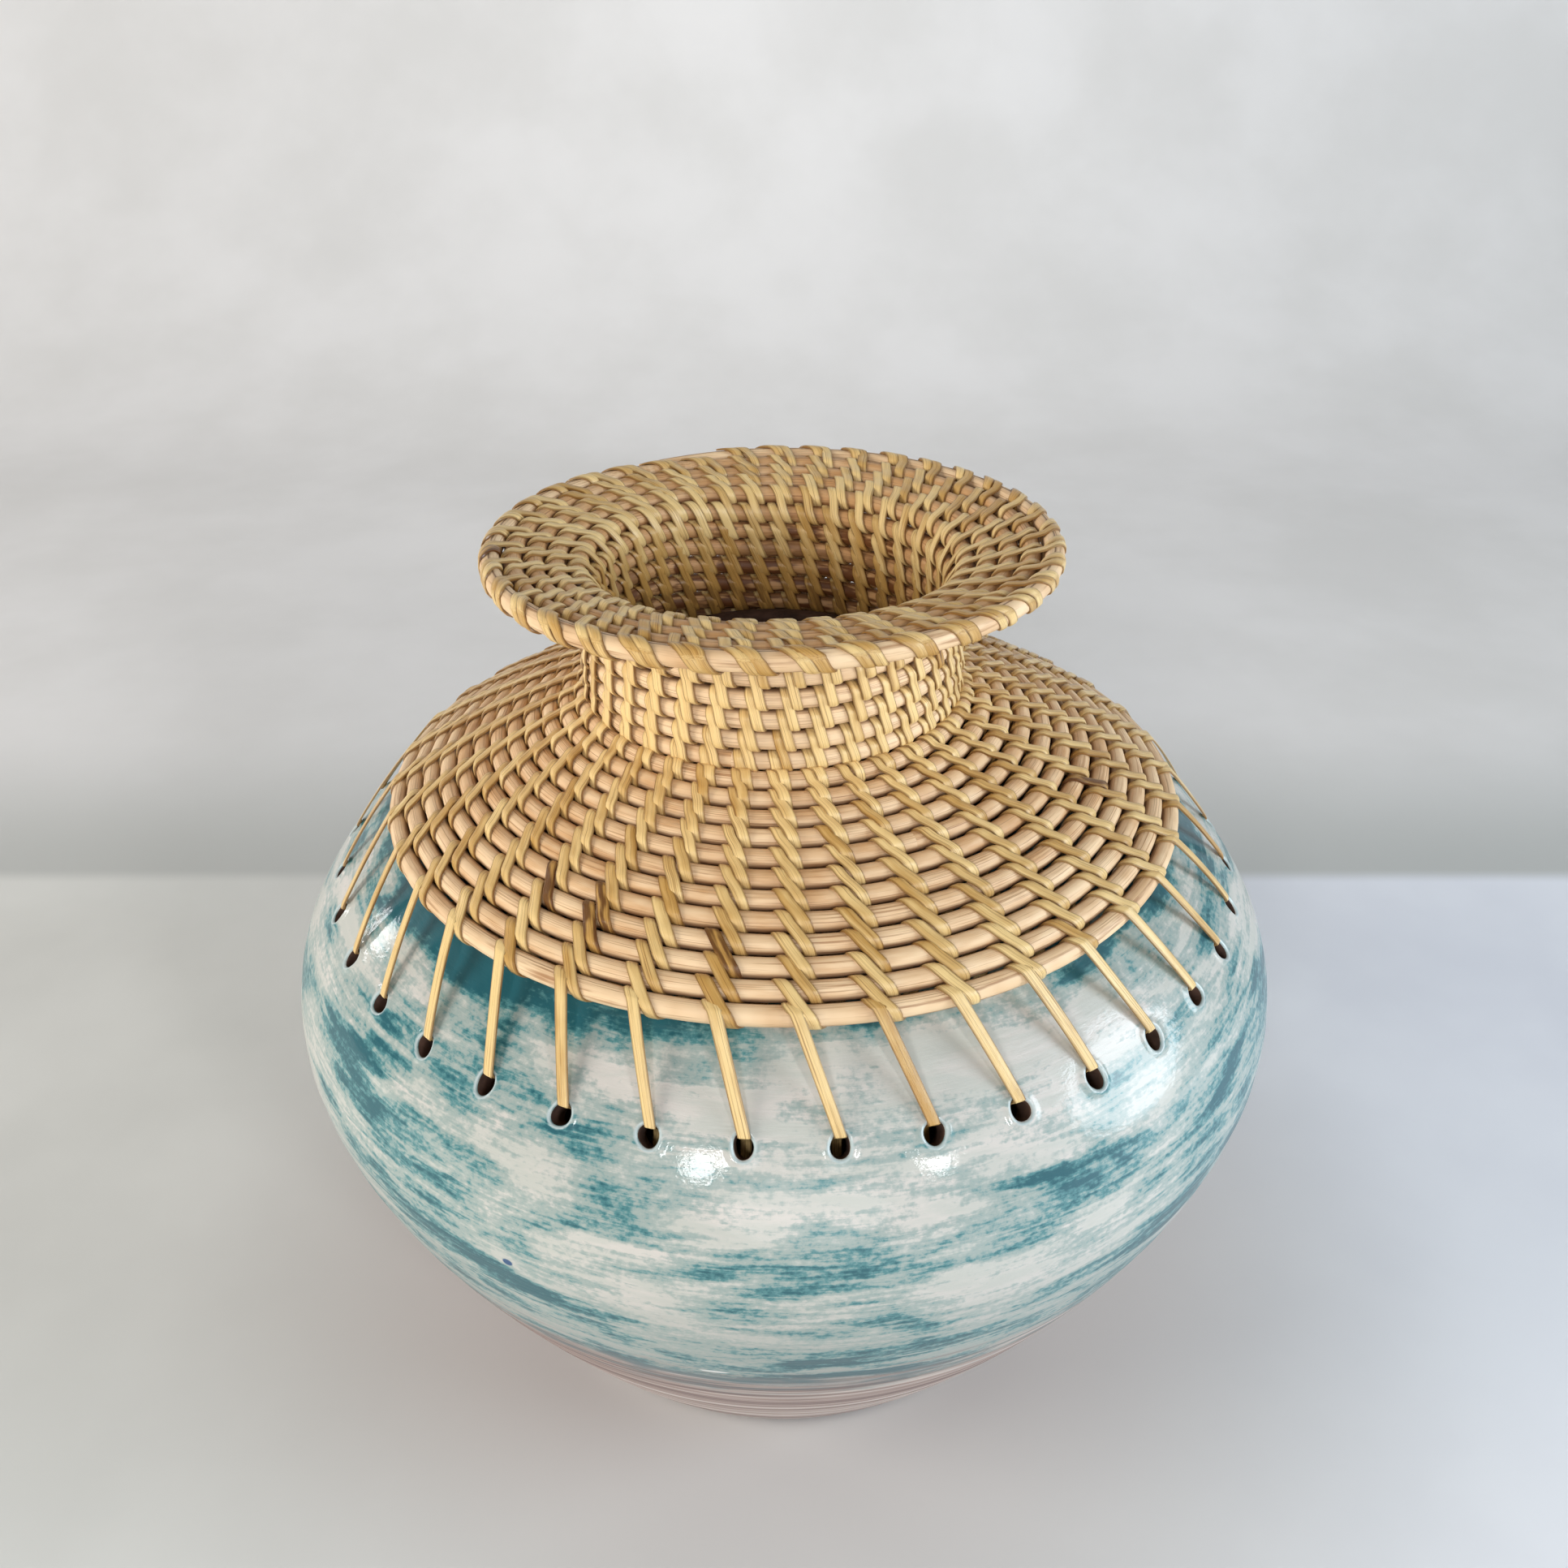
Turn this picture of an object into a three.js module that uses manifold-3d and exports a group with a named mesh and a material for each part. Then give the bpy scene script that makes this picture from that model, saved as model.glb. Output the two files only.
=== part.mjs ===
// Round earthenware vase with a coiled rattan collar.
// A wheel-thrown pot carries a collar of round rattan core, coiled up over the shoulder, up the neck and out
// to a flared rim. Strips of rattan peel bind the coil, and a ring of laces ties it to holes in the pot.
// Millimetres, +Z up, origin at the centre of the foot, -Y is the front.
import * as THREE from "three";
import { mergeVertices } from "three/addons/utils/BufferGeometryUtils.js";
import Module from "manifold-3d";

const wasm = await Module();
wasm.setup();

// Pot
const FOOT_RADIUS = 78.8;
const FOOT_BEVEL = 2.2;
const FOOT_LEAN = THREE.MathUtils.degToRad(36); // of the lower belly from upright, at the foot
const LOWER_FULLNESS = 35; // handle lengths of the lower belly's curve
const LOWER_UPRIGHT = 30;
const BELLY_RADIUS = 137.5;
const BELLY_HEIGHT = 118;
const SHOULDER_UPRIGHT = 36.5; // handle lengths of the shoulder's curve
const SHOULDER_REACH = 56;
const SHOULDER_SLOPE = THREE.MathUtils.degToRad(20); // from level, where the shoulder meets the lip
const SHOULDER_HEIGHT = 198;
const WALL = 7;
const FLOOR = 9;
const LIP_HEIGHT = 6.5;
const LIP_WALL = 5;
const POT_SEGMENTS = 64;

// Rattan stock
const ROD_DIAMETER = 4.7;
const STRIP_THICKNESS = 0.5;
const BINDING_WIDTH = 3.2;
const LACE_WIDTH = 3.2;
const LACE_TIP_WIDTH = 2.6;
const CLEARANCE = 0.25; // between pieces that touch on the real vase
const ROW_GAP = 0.7; // least opening between two rows of rod, which one strip passes through

// Collar, measured to the middle of the rod
const COLLAR_RADIUS = 104.4; // lowest row
const NECK_RADIUS = 47;
const CREASE = 9; // reach of the curve from the shoulder up into the neck
const FLARE_BEND = 7;
const FLARE_SLOPE = THREE.MathUtils.degToRad(15);
const RIM_RADIUS = 70.9;
const RIM_HEIGHT = 243;
const CLIMB_TURNS = 1 / 6; // at the back the coil climbs a row over this much of a turn, and then runs level
const SHAVED_TIP = 0.46; // share of the climb where a shaved end of the coil would be too thin to cut
const SPLICES = [0.165, 0.328, 0.54, 0.73, 0.9]; // shares of the coil where one rod ends and the next starts
const ROD_NAMES = ["shoulder_rod_1", "shoulder_rod_2", "shoulder_rod_3", "neck_rod", "flare_rod", "rim_rod"];

// Lacing
const LACE_COUNT = 37;
const LACE_HOLE_DIAMETER = 4.8;
const LACE_HOLE_SHARE = 0.357; // place of the hole ring along the shoulder's curve
const LACE_TAIL = 7; // end of a lace that lies against the inside of the wall
const LACE_SLANT = 0.58; // share of its sector that a lace moves round on its way down to the hole
const STITCH_SLANT = 0.45; // and that a binding moves round on its way down over two rows

// Facets
const COIL_STEPS = 24;
const ROD_SIDES = 5;
const HOLE_SIDES = 8;
const BACK = Math.PI / 2; // azimuth where the coil starts

const ROD_RADIUS = ROD_DIAMETER / 2;
const FACET_SAG = COLLAR_RADIUS * (1 - Math.cos(Math.PI / COIL_STEPS));
const COLLAR_LIFT = ROD_RADIUS + STRIP_THICKNESS + 2 * CLEARANCE + FACET_SAG; // rod above the pot's face
const LIP_RADIUS = NECK_RADIUS - COLLAR_LIFT;
const SECTOR = (2 * Math.PI) / LACE_COUNT;

const CLAY = new THREE.MeshStandardMaterial({ color: 0xa9c6cb, roughness: 0.3, metalness: 0 });
const CORE = new THREE.MeshStandardMaterial({ color: 0xd9b98c, roughness: 0.6, metalness: 0 });
const PEEL = new THREE.MeshStandardMaterial({ color: 0xc99f5c, roughness: 0.45, metalness: 0 });

// Curves of the half section, as (radius, height)

const at = (radius, height) => new THREE.Vector2(radius, height);

// Right-hand side of a curve that runs up the vase, which is the outer face of the belly, shoulder, neck and flare
function outward(curve, share) {
  const along = curve.getTangent(share);
  return at(along.y, -along.x);
}

class OffsetCurve extends THREE.Curve {
  constructor(base, distance) {
    super();
    this.base = base;
    this.distance = distance;
  }
  getPoint(share) {
    return this.base.getPoint(share).addScaledVector(outward(this.base, share), this.distance);
  }
}

// Part of a curve, between two shares of it
class CurvePiece extends THREE.Curve {
  constructor(base, from, to) {
    super();
    Object.assign(this, { base, from, to });
  }
  getPoint(share) {
    return this.base.getPoint(THREE.MathUtils.lerp(this.from, this.to, share));
  }
}

// Share of a curve with a falling radius where it reaches the given radius
function shareAtRadius(curve, radius) {
  let [low, high] = [0, 1];
  for (let halving = 0; halving < 40; halving++) {
    const middle = (low + high) / 2;
    if (curve.getPoint(middle).x > radius) low = middle;
    else high = middle;
  }
  return (low + high) / 2;
}

const lowerBelly = new THREE.CubicBezierCurve(
  at(FOOT_RADIUS, 0),
  at(FOOT_RADIUS + LOWER_FULLNESS * Math.sin(FOOT_LEAN), LOWER_FULLNESS * Math.cos(FOOT_LEAN)),
  at(BELLY_RADIUS, BELLY_HEIGHT - LOWER_UPRIGHT),
  at(BELLY_RADIUS, BELLY_HEIGHT),
);
const shoulder = new THREE.CubicBezierCurve(
  at(BELLY_RADIUS, BELLY_HEIGHT),
  at(BELLY_RADIUS, BELLY_HEIGHT + SHOULDER_UPRIGHT),
  at(
    LIP_RADIUS + SHOULDER_REACH * Math.cos(SHOULDER_SLOPE),
    SHOULDER_HEIGHT - SHOULDER_REACH * Math.sin(SHOULDER_SLOPE),
  ),
  at(LIP_RADIUS, SHOULDER_HEIGHT),
);

// The collar's half section: over the shoulder, up the neck and out along the flare
function collarSection() {
  const lifted = new OffsetCurve(shoulder, COLLAR_LIFT);
  const overShoulder = new CurvePiece(
    lifted,
    shareAtRadius(lifted, COLLAR_RADIUS),
    shareAtRadius(lifted, NECK_RADIUS + CREASE),
  );
  const creaseStart = overShoulder.getPoint(1);
  const slope = overShoulder.getTangent(1);
  const creaseCorner = at(NECK_RADIUS, creaseStart.y + (slope.y / -slope.x) * CREASE);
  const neckBottom = at(NECK_RADIUS, creaseCorner.y + CREASE / 2);
  const bendTurn = Math.PI / 2 - FLARE_SLOPE;
  const bendEnd = at(
    NECK_RADIUS + FLARE_BEND * (1 - Math.cos(bendTurn)),
    RIM_HEIGHT - (RIM_RADIUS - NECK_RADIUS - FLARE_BEND * (1 - Math.cos(bendTurn))) * Math.tan(FLARE_SLOPE),
  );
  const neckTop = at(NECK_RADIUS, bendEnd.y - FLARE_BEND * Math.sin(bendTurn));
  const bendMiddle = NECK_RADIUS + FLARE_BEND;
  const path = new THREE.CurvePath();
  path.add(overShoulder);
  path.add(new THREE.QuadraticBezierCurve(creaseStart, creaseCorner, neckBottom));
  path.add(new THREE.LineCurve(neckBottom, neckTop));
  path.add(
    new THREE.EllipseCurve(bendMiddle, neckTop.y, FLARE_BEND, FLARE_BEND, Math.PI, Math.PI - bendTurn, true),
  );
  path.add(new THREE.LineCurve(bendEnd, at(RIM_RADIUS, RIM_HEIGHT)));
  return path;
}

const section = collarSection();
const ROWS = Math.floor(section.getLength() / (ROD_DIAMETER + ROW_GAP)) + 1;
const ROW_PITCH = section.getLength() / (ROWS - 1);
const OPENING = ROW_PITCH - ROD_DIAMETER;

// The coil winds counter-clockwise seen from above. Its first row and its last run out beside a climb, shaved thin
// in the room that the climb leaves them, so that the collar's edge and rim are true circles.
const COIL_START = SHAVED_TIP * CLIMB_TURNS;
const COIL_END = ROWS + (1 - SHAVED_TIP) * CLIMB_TURNS;

// Row of the collar that the coil has reached at a turn, and the rod's radius there
function coilAt(turn) {
  const whole = Math.floor(turn);
  const climbed = THREE.MathUtils.smoothstep(turn - whole, 0, CLIMB_TURNS);
  if (whole > 0 && whole < ROWS) return { row: whole - 1 + climbed, radius: ROD_RADIUS };
  const room = (whole === 0 ? climbed : 1 - climbed) * ROW_PITCH - OPENING;
  const shaved = ROD_RADIUS - room / 2;
  const edge = whole === 0 ? -1 : 1;
  return { row: (whole === 0 ? 0 : ROWS - 1) + (edge * shaved) / ROW_PITCH, radius: room / 2 };
}

// Place on the collar at a turn of the coil, with the directions up the section and out of its face
function collarFrame(turn) {
  const { row, radius } = coilAt(turn);
  const share = THREE.MathUtils.clamp(row / (ROWS - 1), 0, 1);
  const azimuth = BACK + 2 * Math.PI * turn;
  const along = section.getTangent(share);
  const past = (row - share * (ROWS - 1)) * ROW_PITCH; // beyond the section's own ends
  const lay = (flat) => new THREE.Vector3(flat.x * Math.cos(azimuth), flat.x * Math.sin(azimuth), flat.y);
  const middle = section.getPoint(share).addScaledVector(along, past);
  return { centre: lay(middle), up: lay(along), out: lay(at(along.y, -along.x)), radius };
}

// The rod runs straight between two steps of the coil, and what is bound to it follows that facet
function rodFrame(turn) {
  const step = Math.floor(turn * COIL_STEPS);
  const centre = collarFrame(step / COIL_STEPS).centre;
  centre.lerp(collarFrame((step + 1) / COIL_STEPS).centre, turn * COIL_STEPS - step);
  return { ...collarFrame(turn), centre };
}

const offset = ({ centre, up, out }, rise, height) =>
  centre.clone().addScaledVector(up, rise).addScaledVector(out, height);

// Solids

// A closed tube: one ring of points for each step of a path, and a flat cap at each end
function tube(rings) {
  const sides = rings[0].length;
  const index = [];
  const last = (rings.length - 1) * sides;
  for (let first = 0; first < last; first += sides) {
    for (let side = 0; side < sides; side++) {
      const next = (side + 1) % sides;
      index.push(first + side, first + next, first + sides + next);
      index.push(first + side, first + sides + next, first + sides + side);
    }
  }
  for (let side = 1; side < sides - 1; side++) {
    index.push(0, side + 1, side);
    index.push(last, last + side, last + side + 1);
  }
  const positions = rings.flat().flatMap((point) => point.toArray());
  const geometry = new THREE.BufferGeometry();
  geometry.setAttribute("position", new THREE.Float32BufferAttribute(positions, 3));
  geometry.setIndex(index);
  return geometry;
}

// A flat strip along a path of {point, out, width}; its section is a list of [across, through] shares.
// Where a point says which way the strip's width lies, the section keeps to that and doesn't twist.
function strip(path, sectionShares) {
  const rings = path.map(({ point, out, lying, width }, place) => {
    const before = path[Math.max(place - 1, 0)].point;
    const after = path[Math.min(place + 1, path.length - 1)].point;
    const along = after.clone().sub(before).normalize();
    const through = lying
      ? along.clone().cross(lying)
      : out.clone().addScaledVector(along, -out.dot(along));
    const slantedWidth = lying ? width / through.length() : width;
    through.normalize();
    const across = lying ?? through.clone().cross(along);
    return sectionShares.map(([side, face]) =>
      point
        .clone()
        .addScaledVector(across, side * slantedWidth)
        .addScaledVector(through, face * STRIP_THICKNESS),
    );
  });
  return { geometry: tube(rings), rings };
}

const FLAT_STRIP = [[-0.5, -0.5], [0.5, -0.5], [0.5, 0.5], [-0.5, 0.5]];
const CROWNED_STRIP = [[-0.5, -0.5], [0.5, -0.5], [0, 0.5]]; // peel is flat inside and crowned outside

// Least distance between points of a wound tube that lie more than half a loop apart along it
function leastGap(rings, stepsPerLoop) {
  let least = Infinity;
  const apart = Math.ceil(stepsPerLoop / 2);
  for (let first = 0; first < rings.length; first++) {
    const end = Math.min(rings.length, first + 2 * stepsPerLoop);
    for (let second = first + apart; second < end; second++) {
      for (const a of rings[first]) for (const b of rings[second]) least = Math.min(least, a.distanceTo(b));
    }
  }
  return least;
}

function named(name, geometry, material) {
  const mesh = new THREE.Mesh(geometry, material);
  mesh.name = name;
  return mesh;
}

function solidOf(geometry) {
  const bare = geometry.clone();
  bare.deleteAttribute("normal");
  bare.deleteAttribute("uv");
  const merged = mergeVertices(bare, 1e-3);
  return new wasm.Manifold(
    new wasm.Mesh({
      numProp: 3,
      vertProperties: merged.attributes.position.array,
      triVerts: new Uint32Array(merged.index.array),
    }),
  );
}

function geometryOf(solid) {
  const { vertProperties, triVerts } = solid.getMesh();
  const geometry = new THREE.BufferGeometry();
  geometry.setAttribute("position", new THREE.BufferAttribute(vertProperties, 3));
  geometry.setIndex(new THREE.BufferAttribute(triVerts, 1));
  return geometry;
}

// Where a lace enters the pot: the middle of the hole on the outer face, with the face's own directions
function holeFrame(azimuth) {
  const flat = shoulder.getPoint(LACE_HOLE_SHARE);
  const along = shoulder.getTangent(LACE_HOLE_SHARE);
  const lay = (v) => new THREE.Vector3(v.x * Math.cos(azimuth), v.x * Math.sin(azimuth), v.y);
  return { centre: lay(flat), up: lay(along), out: lay(at(along.y, -along.x)) };
}

// Where a lace hooks over the lowest rod, which is the second row's climb until the first row's shaved tip
function laceTurn(lace) {
  const turn = (lace + 0.5) / LACE_COUNT;
  return turn < COIL_START ? turn + 1 : turn;
}
const holeAzimuth = (lace) => BACK + 2 * Math.PI * laceTurn(lace) + LACE_SLANT * SECTOR;

// The thrown pot: belly, shoulder and a short lip inside the collar's neck, drilled with a ring of holes
function pot() {
  const innerShoulder = new OffsetCurve(shoulder, -WALL);
  const lipInside = LIP_RADIUS - LIP_WALL;
  const lipTop = SHOULDER_HEIGHT + LIP_HEIGHT;
  const lipRound = LIP_WALL / 4;
  const lipFoot = shareAtRadius(innerShoulder, lipInside);
  const underLip = new CurvePiece(innerShoulder, lipFoot, 0).getPoints(5);
  const innerLower = new OffsetCurve(lowerBelly, -WALL);
  const floorShare = 0.12; // where the inside wall rounds into the floor
  const downInside = new CurvePiece(innerLower, 1, floorShare).getPoints(4);
  const profile = [
    at(0, 0),
    at(FOOT_RADIUS - FOOT_BEVEL, 0),
    ...new CurvePiece(lowerBelly, 0.04, 1).getPoints(7),
    ...shoulder.getPoints(8).slice(1),
    at(LIP_RADIUS, lipTop - lipRound),
    at(LIP_RADIUS - lipRound, lipTop),
    at(lipInside + lipRound, lipTop),
    at(lipInside, lipTop - lipRound),
    ...underLip,
    ...downInside.slice(1),
    at(downInside.at(-1).x - FLOOR, FLOOR),
    at(0, FLOOR),
  ];
  const thrown = new THREE.LatheGeometry(profile, POT_SEGMENTS).rotateX(Math.PI / 2);
  let solid = solidOf(thrown);
  for (let lace = 0; lace < LACE_COUNT; lace++) {
    const { centre, out } = holeFrame(holeAzimuth(lace));
    const radius = LACE_HOLE_DIAMETER / 2;
    const drill = new THREE.CylinderGeometry(radius, radius, 4 * WALL, HOLE_SIDES);
    drill.applyQuaternion(new THREE.Quaternion().setFromUnitVectors(new THREE.Vector3(0, 1, 0), out));
    drill.translate(...centre.toArray());
    solid = solid.subtract(solidOf(drill));
  }
  return named("pot_shell", geometryOf(solid), CLAY);
}

// One length of round core, from one splice of the coil to the next
function rod(name, from, to) {
  const splice = CLEARANCE / (2 * Math.PI * NECK_RADIUS) / 2; // half the gap between two rods, in turns
  const start = from + (from > COIL_START ? splice : 0);
  const end = to - (to < COIL_END ? splice : 0);
  const turns = [start];
  for (let step = Math.floor(start * COIL_STEPS) + 1; step < end * COIL_STEPS; step++) turns.push(step / COIL_STEPS);
  turns.push(end);
  const rings = turns.map((turn) => {
    const frame = rodFrame(turn);
    return Array.from({ length: ROD_SIDES }, (_, side) => {
      const angle = (-2 * Math.PI * side) / ROD_SIDES;
      return offset(frame, frame.radius * Math.sin(angle), frame.radius * Math.cos(angle));
    });
  });
  console.log(`${name}: least gap to itself ${leastGap(rings, COIL_STEPS).toFixed(2)} mm`);
  return named(name, tube(rings), CORE);
}

// A strip wound round two rows of rod: down over both on the outside, back up behind them, one sector a turn.
// lowerTurn is the lower row's place at the first stitch.
function binding(name, lowerTurn, stitches) {
  const clear = ROD_RADIUS + CLEARANCE + STRIP_THICKNESS / 2; // strip's middle over the rod
  const between = ROW_PITCH / 2;
  const shy = clear / 3;
  const knee = clear * 0.42;
  const upInside = 1 - STITCH_SLANT;
  // row (0 lower, 1 upper), rise up the section, height out of it, and how far round the stitch has come
  const stitch = [
    [1, between, shy, 0],
    [1, knee, clear, STITCH_SLANT * 0.18],
    [0, -knee, clear, STITCH_SLANT * 0.82],
    [0, -between, shy, STITCH_SLANT],
    [0, -between, -shy, STITCH_SLANT + upInside * 0.08],
    [0, -knee, -clear, STITCH_SLANT + upInside * 0.22],
    [1, knee, -clear, STITCH_SLANT + upInside * 0.78],
    [1, between, -shy, STITCH_SLANT + upInside * 0.92],
  ];
  const path = [];
  for (let count = 0; count < stitches; count++) {
    for (const [upper, rise, height, round] of stitch) {
      const frame = rodFrame(lowerTurn + upper + (count + round) / LACE_COUNT);
      path.push({
        point: offset(frame, rise, height),
        lying: frame.up.clone().cross(frame.out),
        width: BINDING_WIDTH,
      });
    }
  }
  const { geometry, rings } = strip(path, CROWNED_STRIP);
  console.log(`${name}: least gap to itself ${leastGap(rings, stitch.length).toFixed(2)} mm`);
  return named(name, geometry, PEEL);
}

// A lace hooked over the lowest row and drawn down into its hole, with its tail against the inside of the wall
function lace(number) {
  const behind = rodFrame(laceTurn(number) + 0.03 / LACE_COUNT);
  const over = rodFrame(laceTurn(number) + 0.09 / LACE_COUNT);
  const clear = behind.radius + CLEARANCE + STRIP_THICKNESS / 2;
  const between = behind.radius + OPENING / 2;
  const hole = holeFrame(holeAzimuth(number));
  const upper = LACE_HOLE_DIAMETER / 4; // the lace hugs the upper side of its hole
  const inside = WALL + CLEARANCE + STRIP_THICKNESS;
  const hook = (frame, rise, height) => ({
    point: offset(frame, rise, height),
    out: offset({ ...frame, centre: new THREE.Vector3() }, rise, height),
    width: LACE_WIDTH,
  });
  const drop = (rise, height, outRise, outHeight) => ({
    point: offset(hole, rise, height),
    out: offset({ ...hole, centre: new THREE.Vector3() }, outRise, outHeight),
    width: LACE_TIP_WIDTH,
  });
  const path = [
    hook(behind, 0, -clear),
    hook(behind, clear * 0.72, -clear * 0.78),
    hook(behind, between, 0),
    hook(behind, clear * 0.72, clear * 0.78),
    hook(over, -clear * 0.1, clear * 1.04),
    drop(upper + STRIP_THICKNESS, 2 * STRIP_THICKNESS, -1, 2),
    drop(upper, -STRIP_THICKNESS, -1, 0),
    drop(upper, -inside, -1, 1),
    drop(upper - LACE_TAIL, -inside - 2 * STRIP_THICKNESS, 0, 1),
  ];
  return named(`lace_${String(number + 1).padStart(2, "0")}`, strip(path, FLAT_STRIP).geometry, PEEL);
}

const vase = new THREE.Group();
vase.add(pot());
const stops = [COIL_START, ...SPLICES.map((share) => share * COIL_END), COIL_END];
ROD_NAMES.forEach((name, place) => vase.add(rod(name, stops[place], stops[place + 1])));
const FIRST_STITCH = Math.ceil(CLIMB_TURNS * LACE_COUNT);
const STITCHES = LACE_COUNT - FIRST_STITCH - 1; // the bindings stop short of the climb
vase.add(binding("edge_binding", laceTurn(FIRST_STITCH), STITCHES));
vase.add(binding("rim_binding", ROWS - 2 + laceTurn(FIRST_STITCH), STITCHES));
for (let number = 0; number < LACE_COUNT; number++) vase.add(lace(number));
console.log(`collar: ${ROWS} rows at ${ROW_PITCH.toFixed(2)} mm`);

export default vase;
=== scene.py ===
# %% [markdown]
# # A round painted vase with a coiled rattan collar
# The vase is a wheel-thrown earthenware pot, brushed in white and turquoise under a clear gloss. A collar
# of round rattan core is coiled over its shoulder, up a neck and out to a flared rim. Flat strips of
# rattan peel bind each row of the coil to the next, and 37 laces tie the lowest row to holes in the pot.
# The lesson builds the camera and the studio first, then the pot, the rods, the bindings and the laces.

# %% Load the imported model
import math

import bpy
import numpy as np
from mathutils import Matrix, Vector


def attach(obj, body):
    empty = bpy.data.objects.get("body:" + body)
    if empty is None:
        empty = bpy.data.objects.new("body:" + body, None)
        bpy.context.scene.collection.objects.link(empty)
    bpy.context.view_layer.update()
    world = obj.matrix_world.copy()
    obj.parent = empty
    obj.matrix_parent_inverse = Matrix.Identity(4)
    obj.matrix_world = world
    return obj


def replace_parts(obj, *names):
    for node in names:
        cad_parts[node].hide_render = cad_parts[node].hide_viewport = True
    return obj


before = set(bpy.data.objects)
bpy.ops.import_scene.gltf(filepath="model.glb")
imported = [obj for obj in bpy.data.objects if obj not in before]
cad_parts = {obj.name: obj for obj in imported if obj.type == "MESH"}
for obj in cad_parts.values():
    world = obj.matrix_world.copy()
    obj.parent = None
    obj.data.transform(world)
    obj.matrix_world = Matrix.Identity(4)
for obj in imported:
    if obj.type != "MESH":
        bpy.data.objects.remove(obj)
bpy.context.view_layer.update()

# %% [markdown]
# ## The camera
# A picture of a vase shows its height, its reach and how round its rings look, and those three fix where
# the camera stood. A short lens close by makes the near side of the belly large, which a long lens far
# off would not, so the distance counts as much as the angle. The sizes of the vase are written in
# millimetres.

# %% Camera
MM = 0.001
IMAGE_PIXELS = 1932
FOCAL_PIXELS = 1800
SENSOR_WIDTH = 36
CAMERA_DISTANCE = 408.5
CAMERA_RISE = math.radians(30.96)
CAMERA_TARGET = Vector((0, 0, 169.7))

camera_data = bpy.data.cameras.new("camera")
camera_data.sensor_width = SENSOR_WIDTH
camera_data.lens = SENSOR_WIDTH * FOCAL_PIXELS / IMAGE_PIXELS
camera_data.clip_start = 0.01
camera = bpy.data.objects.new("camera", camera_data)
bpy.context.scene.collection.objects.link(camera)
from_target = Vector((0, -math.cos(CAMERA_RISE), math.sin(CAMERA_RISE))) * CAMERA_DISTANCE
camera.location = (CAMERA_TARGET + from_target) * MM
camera.rotation_euler = (-from_target).to_track_quat("-Z", "Y").to_euler()
bpy.context.scene.camera = camera
print("camera at", [round(v, 3) for v in camera.location], "lens", round(camera_data.lens, 2))

# %% [markdown]
# ## Node helpers
# Every finish below is a small graph of shader nodes. A few helpers keep those graphs short: one adds a
# node with its values, one joins two values by an operation, one turns a grey value into a mask, and one
# lays fine relief on the surface.

# %% Node helpers


def add_node(tree, kind, inputs=None, **settings):
    """A node of a shader graph; inputs are values or the output sockets that feed it"""
    node = tree.nodes.new(kind)
    for name, value in settings.items():
        setattr(node, name, value)
    for name, value in (inputs or {}).items():
        if isinstance(value, bpy.types.NodeSocket):
            tree.links.new(value, node.inputs[name])
        else:
            node.inputs[name].default_value = value
    return node


def calculate(tree, operation, first, second=0.0, third=0.0):
    """The result of a Math node"""
    return add_node(tree, "ShaderNodeMath", {0: first, 1: second, 2: third}, operation=operation).outputs[0]


def fade(tree, value, low, high):
    """A mask that goes smoothly from 0 at low to 1 at high"""
    limits = {"Value": value, "From Min": low, "From Max": high}
    return add_node(tree, "ShaderNodeMapRange", limits, interpolation_type="SMOOTHSTEP").outputs[0]


def blend(tree, share, first, second):
    """A colour between two others"""
    node = add_node(tree, "ShaderNodeMix", data_type="RGBA")
    for socket, value in zip((node.inputs[0], node.inputs[6], node.inputs[7]), (share, first, second)):
        if isinstance(value, bpy.types.NodeSocket):
            tree.links.new(value, socket)
        else:
            socket.default_value = value
    return node.outputs[2]


def noise(tree, vector, scale, detail=3.0, roughness=0.55, distortion=0.0):
    """A cloud of grey values around 0.5"""
    values = {"Vector": vector, "Scale": scale, "Detail": detail, "Roughness": roughness}
    values["Distortion"] = distortion
    return add_node(tree, "ShaderNodeTexNoise", values).outputs["Fac"]


def stretched(tree, vector, scale, shift=(0.0, 0.0, 0.0)):
    """Coordinates squeezed or stretched along each axis"""
    values = {"Vector": vector, "Location": shift, "Scale": scale}
    return add_node(tree, "ShaderNodeMapping", values).outputs[0]


def surface_place(tree):
    """Where a point of the surface lies, in metres of its own piece"""
    return add_node(tree, "ShaderNodeTexCoord").outputs["Object"]


def axis(tree, vector, name):
    """One of the three coordinates of a place"""
    return add_node(tree, "ShaderNodeSeparateXYZ", {"Vector": vector}).outputs[name]


def distance(tree, vector):
    """How far a place lies from the zero of its coordinates"""
    return add_node(tree, "ShaderNodeVectorMath", {0: vector}, operation="LENGTH").outputs["Value"]


def colour(red, green, blue):
    """A colour as an eye reads it off a picture, from 0 to 255, as the linear light that a shader wants"""
    light = [v / 255 for v in (red, green, blue)]
    return tuple(v / 12.92 if v <= 0.04045 else ((v + 0.055) / 1.055) ** 2.4 for v in light) + (1.0,)


def new_material(name, **constants):
    """A material with a Principled shader, whose constant values are set on its own sockets"""
    material = bpy.data.materials.new(name)
    material.use_nodes = True
    shader = material.node_tree.nodes["Principled BSDF"]
    for socket, value in constants.items():
        shader.inputs[socket.replace("_", " ")].default_value = value
    return material, material.node_tree, shader


def add_bump(tree, shader, height, strength, depth, socket="Normal"):
    """Fine relief of a grey value, over a depth in metres"""
    bump = add_node(tree, "ShaderNodeBump", {"Height": height, "Strength": strength, "Distance": depth})
    tree.links.new(bump.outputs["Normal"], shader.inputs[socket])


print("node helpers ready")

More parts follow.
